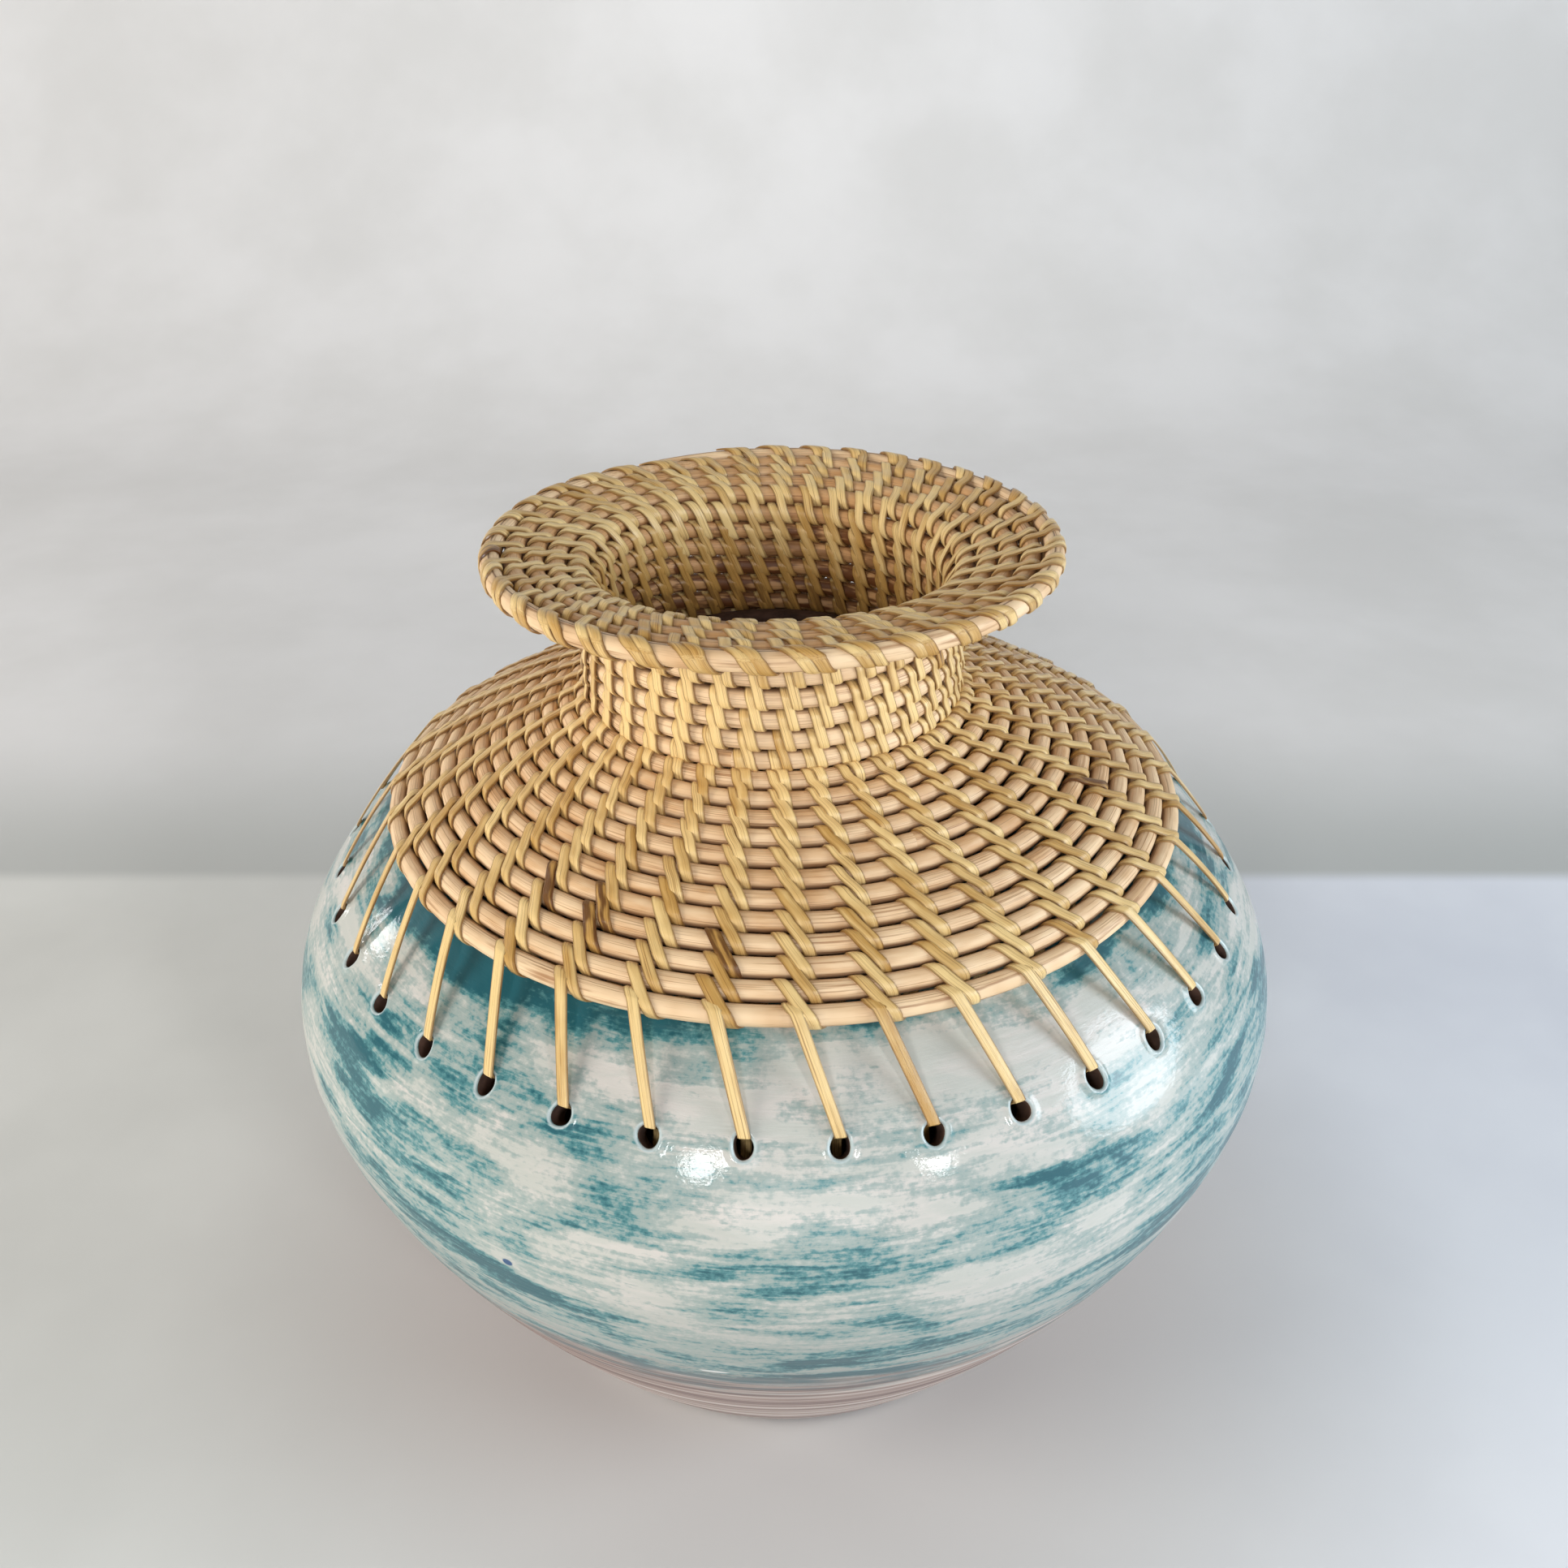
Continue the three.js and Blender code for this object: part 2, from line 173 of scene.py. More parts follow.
# %% [markdown]
# ## Floor, wall and lamps
# One pale sheet that curves up behind the vase makes the floor and the wall. Two planes would leave a
# corner that catches the light; on one sheet, colour alone tells the floor from the wall. The floor is
# painted paler and cooler on the right as painted light, and greyer close to the foot as a painted
# shadow; the wall is painted darker towards the floor as painted shade. Three wide soft lamps stand low
# in front and at both sides, so that the upright neck is brighter than the top of the flare. Two small
# tall lamps in front give the gloss its bright spots, and a small one at the left gives it a narrow
# gleam, so the wide lamp on that side is hidden from reflections. One lamp behind lights the sheet.

# %% Floor and backdrop
SHEET_FRONT, SHEET_BEND, BEND_RADIUS, SHEET_TOP, SHEET_HALF_WIDTH = -2.0, 0.75, 0.45, 2.4, 2.6


def paper_sheet():
    """A floor that curves up into a wall, in metres"""
    angles = np.linspace(0, math.pi / 2, 13)
    side_view = [(SHEET_FRONT, 0.0), (0.0, 0.0)]
    side_view += [(SHEET_BEND + BEND_RADIUS * math.sin(a), BEND_RADIUS * (1 - math.cos(a))) for a in angles]
    side_view.append((SHEET_BEND + BEND_RADIUS, SHEET_TOP))
    vertices = [(x, y, z) for y, z in side_view for x in (-SHEET_HALF_WIDTH, SHEET_HALF_WIDTH)]
    faces = [(2 * i, 2 * i + 1, 2 * i + 3, 2 * i + 2) for i in range(len(side_view) - 1)]
    mesh = bpy.data.meshes.new("paper_sheet")
    mesh.from_pydata(vertices, [], faces)
    mesh.shade_smooth()
    sheet = bpy.data.objects.new("paper_sheet", mesh)
    bpy.context.scene.collection.objects.link(sheet)
    return sheet


backdrop = paper_sheet()
print("backdrop of", len(backdrop.data.polygons), "faces")

# %% Paper finish
# Each pair is the darker and the paler colour of the mottling
LEFT_FLOOR = colour(214, 214, 210), colour(226, 226, 222)
# The right floor's colours are paler and bluer, as painted light from the cool lamp on the right
RIGHT_FLOOR_PAINTED_COOL_LIGHT = colour(230, 232, 240), colour(242, 244, 250)
HIGH_WALL = colour(220, 218, 216), colour(230, 228, 227)
# Painted shade: a grey shadow on the floor by the foot, and a darker foot of the wall
FOOT_SHADOW_ON_FLOOR, LOW_WALL_PAINTED_SHADE = colour(197, 195, 193), colour(194, 195, 192)
# Metres from the vase between which one colour gives way to the next
FLOOR_SIDES, FOOT_SHADOW_REACH = (-0.05, 0.3), (0.08, 0.24)
WALL_START, LOW_WALL_SHADE_REACH = (0.195, 0.207), (0.20, 0.36)


def pale_paper():
    """Mottled paper, by its place on the floor or the wall, with painted light on the right and painted
    shade by the foot and low on the wall
    """
    material, tree, shader = new_material("pale_paper", Roughness=0.9)
    place = surface_place(tree)
    mottle = fade(tree, noise(tree, place, 6.0, 4.0), 0.3, 0.7)
    to_right = fade(tree, axis(tree, place, "X"), *FLOOR_SIDES)
    # Painted light: the floor turns paler and cooler towards the right
    floor = blend(tree, to_right, blend(tree, mottle, *LEFT_FLOOR), blend(tree, mottle, *RIGHT_FLOOR_PAINTED_COOL_LIGHT))
    # Painted shadow: the floor is greyer close to the foot
    floor = blend(tree, fade(tree, distance(tree, place), *FOOT_SHADOW_REACH), FOOT_SHADOW_ON_FLOOR, floor)
    behind = axis(tree, place, "Y")
    # Painted shade: the wall is darker towards the floor
    wall = blend(tree, fade(tree, behind, *LOW_WALL_SHADE_REACH), LOW_WALL_PAINTED_SHADE, blend(tree, mottle, *HIGH_WALL))
    paper = blend(tree, fade(tree, behind, *WALL_START), floor, wall)
    tree.links.new(paper, shader.inputs["Base Color"])
    return material


backdrop.data.materials.append(pale_paper())
print("backdrop finish:", backdrop.data.materials[0].name)

# %% Lamps and world


def lamp(name, place, target, size, watts, tint=(1, 1, 1), tall=1.0, spread=math.pi):
    """A soft lamp that looks at a target, in metres: round, or tall times as high as it is wide"""
    data = bpy.data.lights.new(name, "AREA")
    data.shape = "ELLIPSE"
    data.size, data.size_y = size, size * tall
    data.energy = watts
    data.color = tint
    data.spread = spread
    light = bpy.data.objects.new(name, data)
    light.location = place
    light.rotation_euler = (Vector(target) - Vector(place)).to_track_quat("-Z", "Y").to_euler()
    bpy.context.scene.collection.objects.link(light)
    return light


VASE_MIDDLE = (0, 0, 0.14)
WARM, COOL = (1.0, 0.97, 0.92), (0.82, 0.92, 1.0)
WORLD_COLOUR, WORLD_STRENGTH = colour(236, 239, 241), 0.09

lamp("front_soft", (0.1, -1.75, 0.45), VASE_MIDDLE, size=1.0, watts=6)
left_soft = lamp("left_soft", (-1.5, -0.4, 0.6), VASE_MIDDLE, size=0.9, watts=20.5, tint=WARM)
left_soft.visible_glossy = False
lamp("right_soft", (1.5, -0.35, 0.6), VASE_MIDDLE, size=0.9, watts=19.5, tint=COOL)
lamp("left_gleam", (-1.5, 0.63, 0.52), VASE_MIDDLE, size=0.25, watts=2)
lamp("front_left_spot", (-0.44, -1.36, 0.88), VASE_MIDDLE, size=0.18, watts=4.5, tall=1.9)
lamp("front_right_spot", (0.75, -1.25, 0.83), VASE_MIDDLE, size=0.17, watts=4.5, tall=1.8)
lamp("backdrop_light", (0, 0.85, 0.75), (0, 0.95, 0), size=0.5, watts=0.35, spread=math.radians(110))

world = bpy.data.worlds.new("studio")
world.use_nodes = True
background = world.node_tree.nodes["Background"]
background.inputs["Color"].default_value = WORLD_COLOUR
background.inputs["Strength"].default_value = WORLD_STRENGTH
bpy.context.scene.world = world
bpy.context.scene.view_settings.view_transform = "Standard"

# %% [markdown]
# ## Lines of the half section
# A thrown pot and a coil are both round, so one line in the plane of radius and height holds their whole
# shape. The belly and the shoulder are each one smooth Bezier curve. The line is sampled densely and then
# read by its own length, so that rows of rod and rings of holes can be spaced by what a ruler laid along
# the pot would say.

# %% Half section lines


def bezier(handles, shares):
    """Points of a Bezier curve, one for each share of the way"""
    share = np.asarray(shares, float)[:, None]
    points = [np.repeat(np.array([handle], float), len(share), axis=0) for handle in handles]
    while len(points) > 1:
        points = [a * (1 - share) + b * share for a, b in zip(points, points[1:])]
    return points[0]


def unit(vectors):
    """The same directions with a length of 1"""
    return vectors / np.linalg.norm(vectors, axis=-1, keepdims=True)


def lengths_along(points):
    """Length of a line of points up to each of them"""
    return np.r_[0.0, np.cumsum(np.linalg.norm(np.diff(points, axis=0), axis=1))]


class Outline:
    """A line of (radius, height), read by its length and carried on straight past its ends"""

    def __init__(self, points):
        keep = np.r_[True, np.linalg.norm(np.diff(points, axis=0), axis=1) > 1e-9]
        self.points = np.asarray(points, float)[keep]
        self.reached = lengths_along(self.points)
        self.length = self.reached[-1]
        self.along = unit(np.gradient(self.points, self.reached, axis=0))

    def direction(self, length):
        return unit(np.stack([np.interp(length, self.reached, self.along[:, k]) for k in (0, 1)], -1))

    def outward(self, length):
        along = self.direction(length)
        return np.stack([along[..., 1], -along[..., 0]], -1)

    def place(self, length):
        inside = np.clip(length, 0, self.length)
        point = np.stack([np.interp(inside, self.reached, self.points[:, k]) for k in (0, 1)], -1)
        return point + self.direction(length) * (np.asarray(length) - inside)[..., None]

    def length_at_radius(self, radius):
        return float(np.interp(-radius, -self.points[:, 0], self.reached))


print("half section helpers ready")

# %% Pot and shoulder lines
FOOT_RADIUS, FOOT_LEAN, LOWER_FULLNESS, LOWER_UPRIGHT = 78.8, math.radians(36), 35, 30
BELLY_RADIUS, BELLY_HEIGHT = 137.5, 118
SHOULDER_UPRIGHT, SHOULDER_REACH, SHOULDER_SLOPE, SHOULDER_HEIGHT = 36.5, 56, math.radians(20), 198
COLLAR_LIFT = 4.24
NECK_RADIUS = 47.0
LIP_RADIUS = NECK_RADIUS - COLLAR_LIFT

fine = np.linspace(0, 1, 400)
lower_belly = bezier(
    [
        (FOOT_RADIUS, 0),
        (FOOT_RADIUS + LOWER_FULLNESS * math.sin(FOOT_LEAN), LOWER_FULLNESS * math.cos(FOOT_LEAN)),
        (BELLY_RADIUS, BELLY_HEIGHT - LOWER_UPRIGHT),
        (BELLY_RADIUS, BELLY_HEIGHT),
    ],
    fine,
)
shoulder_handles = [
    (BELLY_RADIUS, BELLY_HEIGHT),
    (BELLY_RADIUS, BELLY_HEIGHT + SHOULDER_UPRIGHT),
    (
        LIP_RADIUS + SHOULDER_REACH * math.cos(SHOULDER_SLOPE),
        SHOULDER_HEIGHT - SHOULDER_REACH * math.sin(SHOULDER_SLOPE),
    ),
    (LIP_RADIUS, SHOULDER_HEIGHT),
]
shoulder_line = Outline(bezier(shoulder_handles, fine))
pot_line = Outline(np.vstack([lower_belly, shoulder_line.points[1:]]))
belly_length = pot_line.length - shoulder_line.length
print(f"pot: {pot_line.length:.1f} mm up the outside, belly at {belly_length:.1f} mm")

# %% [markdown]
# ## Building round things
# Blender can spin a profile with a modifier, but this pot has a ring of holes, and a hole cut by a
# boolean leaves long thin faces that catch the light. Instead the wall is laid out in rings of points.
# Round each hole a patch of faces runs from the hole's edge out to a square, and the squares join the
# rings above and below.

# %% A mesh from parts


class MeshParts:
    """Points and faces in millimetres, with a length-and-width coordinate and a tone for each point"""

    def __init__(self):
        self.points, self.faces, self.finish, self.coordinates, self.tones = [], [], [], [], []
        self.count = 0

    def add(self, points, coordinates=None, tone=0.5):
        points = np.asarray(points, float).reshape(-1, 3)
        first = self.count
        self.count += len(points)
        self.points.append(points)
        flat = np.zeros((len(points), 2)) if coordinates is None else np.asarray(coordinates, float)
        self.coordinates.append(flat.reshape(-1, 2))
        self.tones.append(np.broadcast_to(np.asarray(tone, float), (len(points),)))
        return first + np.arange(len(points))

    def skin(self, near, far, finish=0):
        """Faces between two closed rings of the same number of points"""
        quads = np.stack([near, np.roll(near, -1), np.roll(far, -1), far], 1)
        self.faces.extend(quads.tolist())
        self.finish.extend([finish] * len(quads))

    def cap(self, ring, finish=0):
        self.faces.append(list(map(int, ring)))
        self.finish.append(finish)

    def tube(self, rings):
        """Faces along a row of rings, closed at both ends"""
        for first, second in zip(rings, rings[1:]):
            self.skin(first, second)
        self.cap(rings[0][::-1])
        self.cap(rings[-1])

    def build(self, name, materials, sharp_angle=None):
        mesh = bpy.data.meshes.new(name)
        mesh.from_pydata((np.vstack(self.points) * MM).tolist(), [], self.faces)
        mesh.polygons.foreach_set("material_index", self.finish)
        mesh.shade_smooth()
        loop_points = np.zeros(len(mesh.loops), dtype=np.int32)
        mesh.loops.foreach_get("vertex_index", loop_points)
        layer = mesh.uv_layers.new(name="along_and_across")
        layer.data.foreach_set("uv", np.vstack(self.coordinates)[loop_points].ravel())
        tone = mesh.attributes.new("tone", "FLOAT", "POINT")
        tone.data.foreach_set("value", np.concatenate(self.tones))
        if sharp_angle:
            mesh.set_sharp_from_angle(angle=sharp_angle)
        mesh.validate()
        piece = bpy.data.objects.new(name, mesh)
        bpy.context.scene.collection.objects.link(piece)
        for material in materials:
            mesh.materials.append(material)
        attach(piece, "root")
        print(f"{name}: {len(mesh.vertices)} points, {len(mesh.polygons)} faces")
        return piece


print("mesh builder ready")

# %% [markdown]
# ## The painted finish
# The pot was brushed in bands as it turned: white slip, then turquoise dragged over it with a dry brush,
# so each patch is long, level and broken into streaks and grain. A picture of paint would do, but it
# would have a seam and one fixed size. Clouds of noise have neither: squeezed in height they become level
# strokes, and a second and a third cloud, finer and flatter, tear the edges of the first.

# %% Paint colours and clouds
# The second slip colour is greyer: painted shade low on the belly
SLIP, LOW_SLIP_PAINTED_SHADE = (colour(194, 195, 187), colour(211, 205, 198)), colour(164, 167, 163)
FOOT_CLAY, FOOT_BROWN = (colour(228, 214, 206), colour(170, 144, 133)), colour(104, 58, 48)
LIP_PAINT = colour(192, 206, 206)
RAW_CLAY_COLOURS = colour(58, 40, 33), colour(96, 70, 58)
# Aqua, turquoise and teal, and the cover between which each takes over
STROKE_COLOURS = [
    (0.39, 0.54, colour(157, 171, 166)),
    (0.54, 0.66, colour(83, 138, 141)),
    (0.62, 0.75, colour(33, 92, 102)),
]
# Two small flecks on the belly: place, half sizes and colour
FLECKS = [
    ((-0.0628, -0.1217, 0.1161), (0.0016, 0.0016, 0.0010), colour(38, 78, 122)),
    ((-0.0164, -0.1274, 0.0855), (0.0040, 0.0040, 0.0007), colour(230, 232, 230)),
]
# Each cloud: squeeze in height, shift, scale, detail, roughness and distortion
CLOUDS = {
    "zones": (1.7, (1.44, 0.48, 2.2), 9.0, 2.0, 0.5, 0.4),
    "patches": (3.6, (0.34, 1.17, 1.55), 21.0, 3.0, 0.55, 0.8),
    "strokes": (7.0, (0.7, 0.2, 0.1), 40.0, 4.0, 0.6, 0.5),
    "streaks": (20.0, (0.0, 0.0, 0.0), 42.0, 4.0, 0.65, 0.3),
    "speckle": (1.6, (0.0, 0.0, 0.0), 560.0, 3.0, 0.6, 0.0),
}
CLOUD_SHARES = {"zones": 0.75, "strokes": 0.6, "streaks": 0.38, "speckle": 0.36}
# Heights in metres between which the paint changes
LOW_SHADE_CLEARS, COLLAR_SHADOW, LOW_BELLY, FOOT_EDGE = (0.07, 0.13), (0.160, 0.171), (0.085, 0.12), (0.062, 0.09)
EXTRA_COVER, SHADOW_COVER, LOW_COVER, FOOT_RAGGED = 0.035, 0.3, 0.1, 0.05
# Grey values of a cloud between which its colour changes
SLIP_STROKES, FOOT_PINK, FOOT_DARK, WORN_LIP = (0.35, 0.65), (0.38, 0.48), (0.50, 0.58), (0.6, 0.95)
PAINT_RELIEF, GLOSS_RELIEF, RELIEF_DEPTH, SPECKLE_RELIEF = 0.3, 0.12, 0.0004, 0.6
print("paint clouds:", list(CLOUDS))

# %% Brushed paint


def turquoise_cover(tree, clouds, height):
    """How thickly the turquoise lies: torn patches, more low down, and more under the collar, partly as
    paint and partly as the collar's painted shadow
    """
    cover = calculate(tree, "ADD", clouds["patches"], EXTRA_COVER)
    for name, share in CLOUD_SHARES.items():
        cover = calculate(tree, "MULTIPLY_ADD", calculate(tree, "SUBTRACT", clouds[name], 0.5), share, cover)
    cover = calculate(tree, "MULTIPLY_ADD", fade(tree, height, *COLLAR_SHADOW), SHADOW_COVER, cover)
    low_belly = calculate(tree, "SUBTRACT", 1.0, fade(tree, height, *LOW_BELLY))
    return calculate(tree, "MULTIPLY_ADD", low_belly, LOW_COVER, cover)


def foot_rings(tree, place, strokes, height):
    """Bare clay in thin rings, and a ragged mask that shows it near the foot"""
    lines = noise(tree, stretched(tree, place, (1, 1, 48.0)), 6.0, 4.0, 0.6)
    clay = blend(tree, fade(tree, lines, *FOOT_PINK), *FOOT_CLAY)
    clay = blend(tree, fade(tree, lines, *FOOT_DARK), clay, FOOT_BROWN)
    ragged = calculate(tree, "MULTIPLY_ADD", calculate(tree, "SUBTRACT", strokes, 0.5), FOOT_RAGGED, height)
    return clay, calculate(tree, "SUBTRACT", 1.0, fade(tree, ragged, *FOOT_EDGE))


def with_flecks(tree, place, paint):
    """The paint with its small flecks, each a soft-edged oval"""
    for centre, half_size, fleck_colour in FLECKS:
        scale = [1 / half for half in half_size]
        shift = [-middle / half for middle, half in zip(centre, half_size)]
        from_fleck = distance(tree, stretched(tree, place, scale, shift))
        paint = blend(tree, fade(tree, from_fleck, 1.0, 0.7), paint, fleck_colour)
    return paint


def brushed_paint():
    """White slip and turquoise strokes under a clear gloss, with bare pinkish clay in rings near the foot"""
    gloss = {"Coat_Weight": 0.5, "Coat_Roughness": 0.06}
    material, tree, shader = new_material("brushed_paint", Roughness=0.45, **gloss)
    place = surface_place(tree)
    height = axis(tree, place, "Z")
    clouds = {}
    for name, (squeeze, shift, *grain) in CLOUDS.items():
        clouds[name] = noise(tree, stretched(tree, place, (1, 1, squeeze), shift), *grain)
    cover = turquoise_cover(tree, clouds, height)
    slip = blend(tree, fade(tree, clouds["strokes"], *SLIP_STROKES), *SLIP)
    # Painted shade: low on the belly the slip turns greyer, fading out upwards
    paint = blend(tree, fade(tree, height, *LOW_SHADE_CLEARS), LOW_SLIP_PAINTED_SHADE, slip)
    for low, high, stroke_colour in STROKE_COLOURS:
        paint = blend(tree, fade(tree, cover, low, high), paint, stroke_colour)
    clay, near_foot = foot_rings(tree, place, clouds["strokes"], height)
    paint = blend(tree, near_foot, paint, clay)
    by_hole = add_node(tree, "ShaderNodeAttribute", attribute_name="tone").outputs["Fac"]
    paint = blend(tree, fade(tree, by_hole, *WORN_LIP), paint, LIP_PAINT)
    tree.links.new(with_flecks(tree, place, paint), shader.inputs["Base Color"])
    wash = calculate(tree, "MULTIPLY_ADD", clouds["speckle"], SPECKLE_RELIEF, clouds["streaks"])
    add_bump(tree, shader, wash, PAINT_RELIEF, RELIEF_DEPTH)
    add_bump(tree, shader, clouds["speckle"], GLOSS_RELIEF, RELIEF_DEPTH, "Coat Normal")
    return material


def raw_clay():
    """Unpainted dark clay inside the pot and its holes"""
    material, tree, shader = new_material("raw_clay", Roughness=0.85)
    cloud = noise(tree, surface_place(tree), 160.0, 5.0, 0.6)
    clay = blend(tree, fade(tree, cloud, 0.3, 0.7), *RAW_CLAY_COLOURS)
    tree.links.new(clay, shader.inputs["Base Color"])
    add_bump(tree, shader, cloud, 0.4, 0.0005)
    return material


PAINT = brushed_paint()
RAW_CLAY = raw_clay()
print("paint nodes:", len(PAINT.node_tree.nodes))

# %% [markdown]
# ## The pot
# Outside, the wall shows faint throwing rings and is a little out of round. Every hole was punched while
# the clay was damp, so paint and clay stand up round it in a small lip. The wall is 7 mm thick, and
# through the neck one sees only dark raw clay.

# %% Pot sizes
LACE_COUNT = 37
SECTOR = 2 * math.pi / LACE_COUNT
BACK = math.pi / 2  # azimuth of the back, where the coil starts and steps up
LACE_SLANT = 0.58  # sectors that a lace moves round on the way to its hole
WALL, FLOOR, LIP_TOP, LIP_WALL, FOOT_BEVEL = 7.0, 9.0, 204.5, 5.0, 2.2
HOLE_HALF_WIDTH, HOLE_HALF_HEIGHT = 2.3, 2.75
HOLE_SHARE = 0.357  # of the shoulder's curve, from the belly up
NECK_LEAN, LEAN_START, LEAN_HEIGHT = -3.0, 180, 26
RING_HEIGHT, RING_SPACING, RING_SWELL, ROUND_FROM = 0.16, 8.3, 31.0, 40
OVAL, THREE_SIDED = 0.35, 0.2
random = np.random.default_rng(37)

hole_point = bezier(shoulder_handles, [HOLE_SHARE])[0]
hole_length = belly_length + shoulder_line.length_at_radius(hole_point[0])
lace_turns = (np.arange(LACE_COUNT) + 0.5) / LACE_COUNT
hole_azimuths = BACK + 2 * math.pi * lace_turns + LACE_SLANT * SECTOR
print(f"hole ring: radius {hole_point[0]:.1f} mm, height {hole_point[1]:.1f} mm")

# %% Pot surface


def smooth_step(value):
    """From 0 to 1, without a corner at either end"""
    value = np.clip(value, 0, 1)
    return value * value * (3 - 2 * value)


def around_axis(flat, azimuth):
    """A (radius, height) of the half section, turned round the vase"""
    return np.stack([flat[..., 0] * np.cos(azimuth), flat[..., 0] * np.sin(azimuth), flat[..., 1]], -1)


def thrown_wobble(azimuth, length):
    """How far the thrown wall stands out of its true line"""
    swell = np.sin(length / RING_SWELL + 1.1) ** 2
    rings = RING_HEIGHT * np.sin(2 * math.pi * length / RING_SPACING + azimuth) * swell
    oval = OVAL * np.sin(2 * azimuth + 0.6 + length / 70)
    three_sided = THREE_SIDED * np.sin(3 * azimuth - length / 55)
    return (rings + oval + three_sided) * np.clip(length / ROUND_FROM, 0, 1)


def leaned(points):
    """The neck was pressed a little to one side, and the shoulder carries it over"""
    points = np.asarray(points, float)
    return points + smooth_step((points[..., 2:] - LEAN_START) / LEAN_HEIGHT) * (NECK_LEAN, 0, 0)


def on_pot(azimuth, length, height=0.0):
    """Points on the pot's wall, raised by a height over its outside"""
    azimuth, length = np.broadcast_arrays(np.asarray(azimuth, float), np.asarray(length, float))
    raised = np.broadcast_to(np.asarray(height) + thrown_wobble(azimuth, length), azimuth.shape)
    flat = pot_line.place(length) + pot_line.outward(length) * raised[..., None]
    return leaned(around_axis(flat, azimuth))


print(f"throwing moves the belly's right side by {thrown_wobble(0.0, belly_length):.2f} mm")

# %% Hole patches
BAND, SECTOR_STEPS = 7.0, 8
PATCH_SHARES = (0.72, 0.48, 0.30, 0.18, 0.10, 0.04, 0.0)
LIP_HEIGHT, LIP_AWAY, LIP_SPREAD = 0.42, 0.75, 0.55
EDGE_DROP, EDGE_SPREAD = 0.25, 0.25
WORN_AWAY, WORN_SPREAD = 0.45, 0.4
ring_azimuths = hole_azimuths[0] - SECTOR / 2 + np.arange(LACE_COUNT * SECTOR_STEPS) * SECTOR / SECTOR_STEPS
square_ticks = np.linspace(-1, 1, SECTOR_STEPS + 1)


def hump(value, middle, spread):
    """A smooth hump of height 1"""
    return np.exp(-(((value - middle) / spread) ** 2))


def square_outline():
    """Places round a square from -1 to 1, from its lower left corner"""
    square = [(t, -1) for t in square_ticks[:-1]] + [(1, t) for t in square_ticks[:-1]]
    square += [(t, 1) for t in square_ticks[:0:-1]] + [(-1, t) for t in square_ticks[:0:-1]]
    return np.array(square)


def punched_hole(number, angle):
    """The edge of a hole round its own middle, a little out of shape"""
    wobble = 1 + 0.07 * np.sin(2 * angle + number * 1.7) + 0.04 * np.sin(3 * angle + number * 2.3)
    oval = np.stack([HOLE_HALF_WIDTH * np.cos(angle), HOLE_HALF_HEIGHT * np.sin(angle)], -1)
    return oval * wobble[:, None]


def square_ring(parts, sides, number, lower_ring, upper_ring, depth):
    """Points round one square: from the rings below and above, and from sides that neighbours share"""
    steps = SECTOR_STEPS
    ring = np.full(4 * steps, -1)
    around = (number * steps + np.arange(steps + 1)) % len(ring_azimuths)
    ring[: steps + 1] = lower_ring[around]
    ring[2 * steps : 3 * steps + 1] = upper_ring[around][::-1]
    right, left = np.arange(steps + 1, 2 * steps), np.arange(4 * steps - 1, 3 * steps, -1)
    for side, places in (((number + 1) % LACE_COUNT, right), (number, left)):
        if side not in sides:
            azimuth = ring_azimuths[0] + side * SECTOR
            sides[side] = parts.add(on_pot(azimuth, hole_length + square_ticks[1:-1] * BAND, -depth))
        ring[places] = sides[side]
    return ring


def hole_patches(parts, lower_ring, upper_ring, depth, lips):
    """Fills the band between two rings with one patch for each hole, and gives back the holes' edges"""
    square = square_outline()
    angle = np.arctan2(square[:, 1], square[:, 0])
    outer = square * (SECTOR / 2 * hole_point[0], BAND)
    edges, sides = [], {}
    for number in range(LACE_COUNT):
        hole = punched_hole(number, angle)
        rings = [square_ring(parts, sides, number, lower_ring, upper_ring, depth)]
        for share in PATCH_SHARES:
            flat = hole + (outer - hole) * share
            away = np.linalg.norm(flat - hole, axis=1)
            lip = LIP_HEIGHT * hump(away, LIP_AWAY, LIP_SPREAD) - EDGE_DROP * hump(away, 0, EDGE_SPREAD)
            worn = 0.5 + 0.5 * lips * hump(away, WORN_AWAY, WORN_SPREAD)
            azimuth = hole_azimuths[number] + flat[:, 0] / hole_point[0]
            raised = on_pot(azimuth, hole_length + flat[:, 1], lips * lip - depth)
            rings.append(parts.add(raised, tone=worn))
        for outer_ring, inner_ring in zip(rings, rings[1:]):
            if depth:
                parts.skin(inner_ring, outer_ring, finish=1)
            else:
                parts.skin(outer_ring, inner_ring)
        edges.append((rings[-1], hole))
    return edges


print("hole patches of", 4 * SECTOR_STEPS, "points round")

# %% Pot mesh
OUTSIDE_RINGS, SHOULDER_RINGS, INSIDE_HIGH_RINGS, INSIDE_LOW_RINGS = 62, 26, 12, 26
FOOT_FLAT_RADII, FOOT_ROUND, WALL_START_LENGTH, FLOOR_EDGE_LENGTH = (20.0, 50.0), 0.5, 3.0, 16.0
SHOULDER_STOP, INSIDE_STOP, LIP_FOOT, LIP_INSIDE_FOOT = 1.5, 6.5, 1.5, 5.0
LIP_ROUNDING = [(0.0, 1.4), (0.5, 0.4), (1.6, 0.0)]  # in from the side, down from the top
HOLE_BORE = [(0.97, 0.9), (0.93, 2.2), (0.95, 4.6)]  # share of the hole's size, depth


def wall_ring(parts, length, depth=0.0):
    return parts.add(on_pot(ring_azimuths, length, -depth))


def level_ring(parts, radius, height):
    flat = np.broadcast_to((radius, height), (len(ring_azimuths), 2))
    return parts.add(leaned(around_axis(flat, ring_azimuths)))


def skin_all(parts, rings, finish=0):
    for lower, upper in zip(rings, rings[1:]):
        parts.skin(lower, upper, finish)


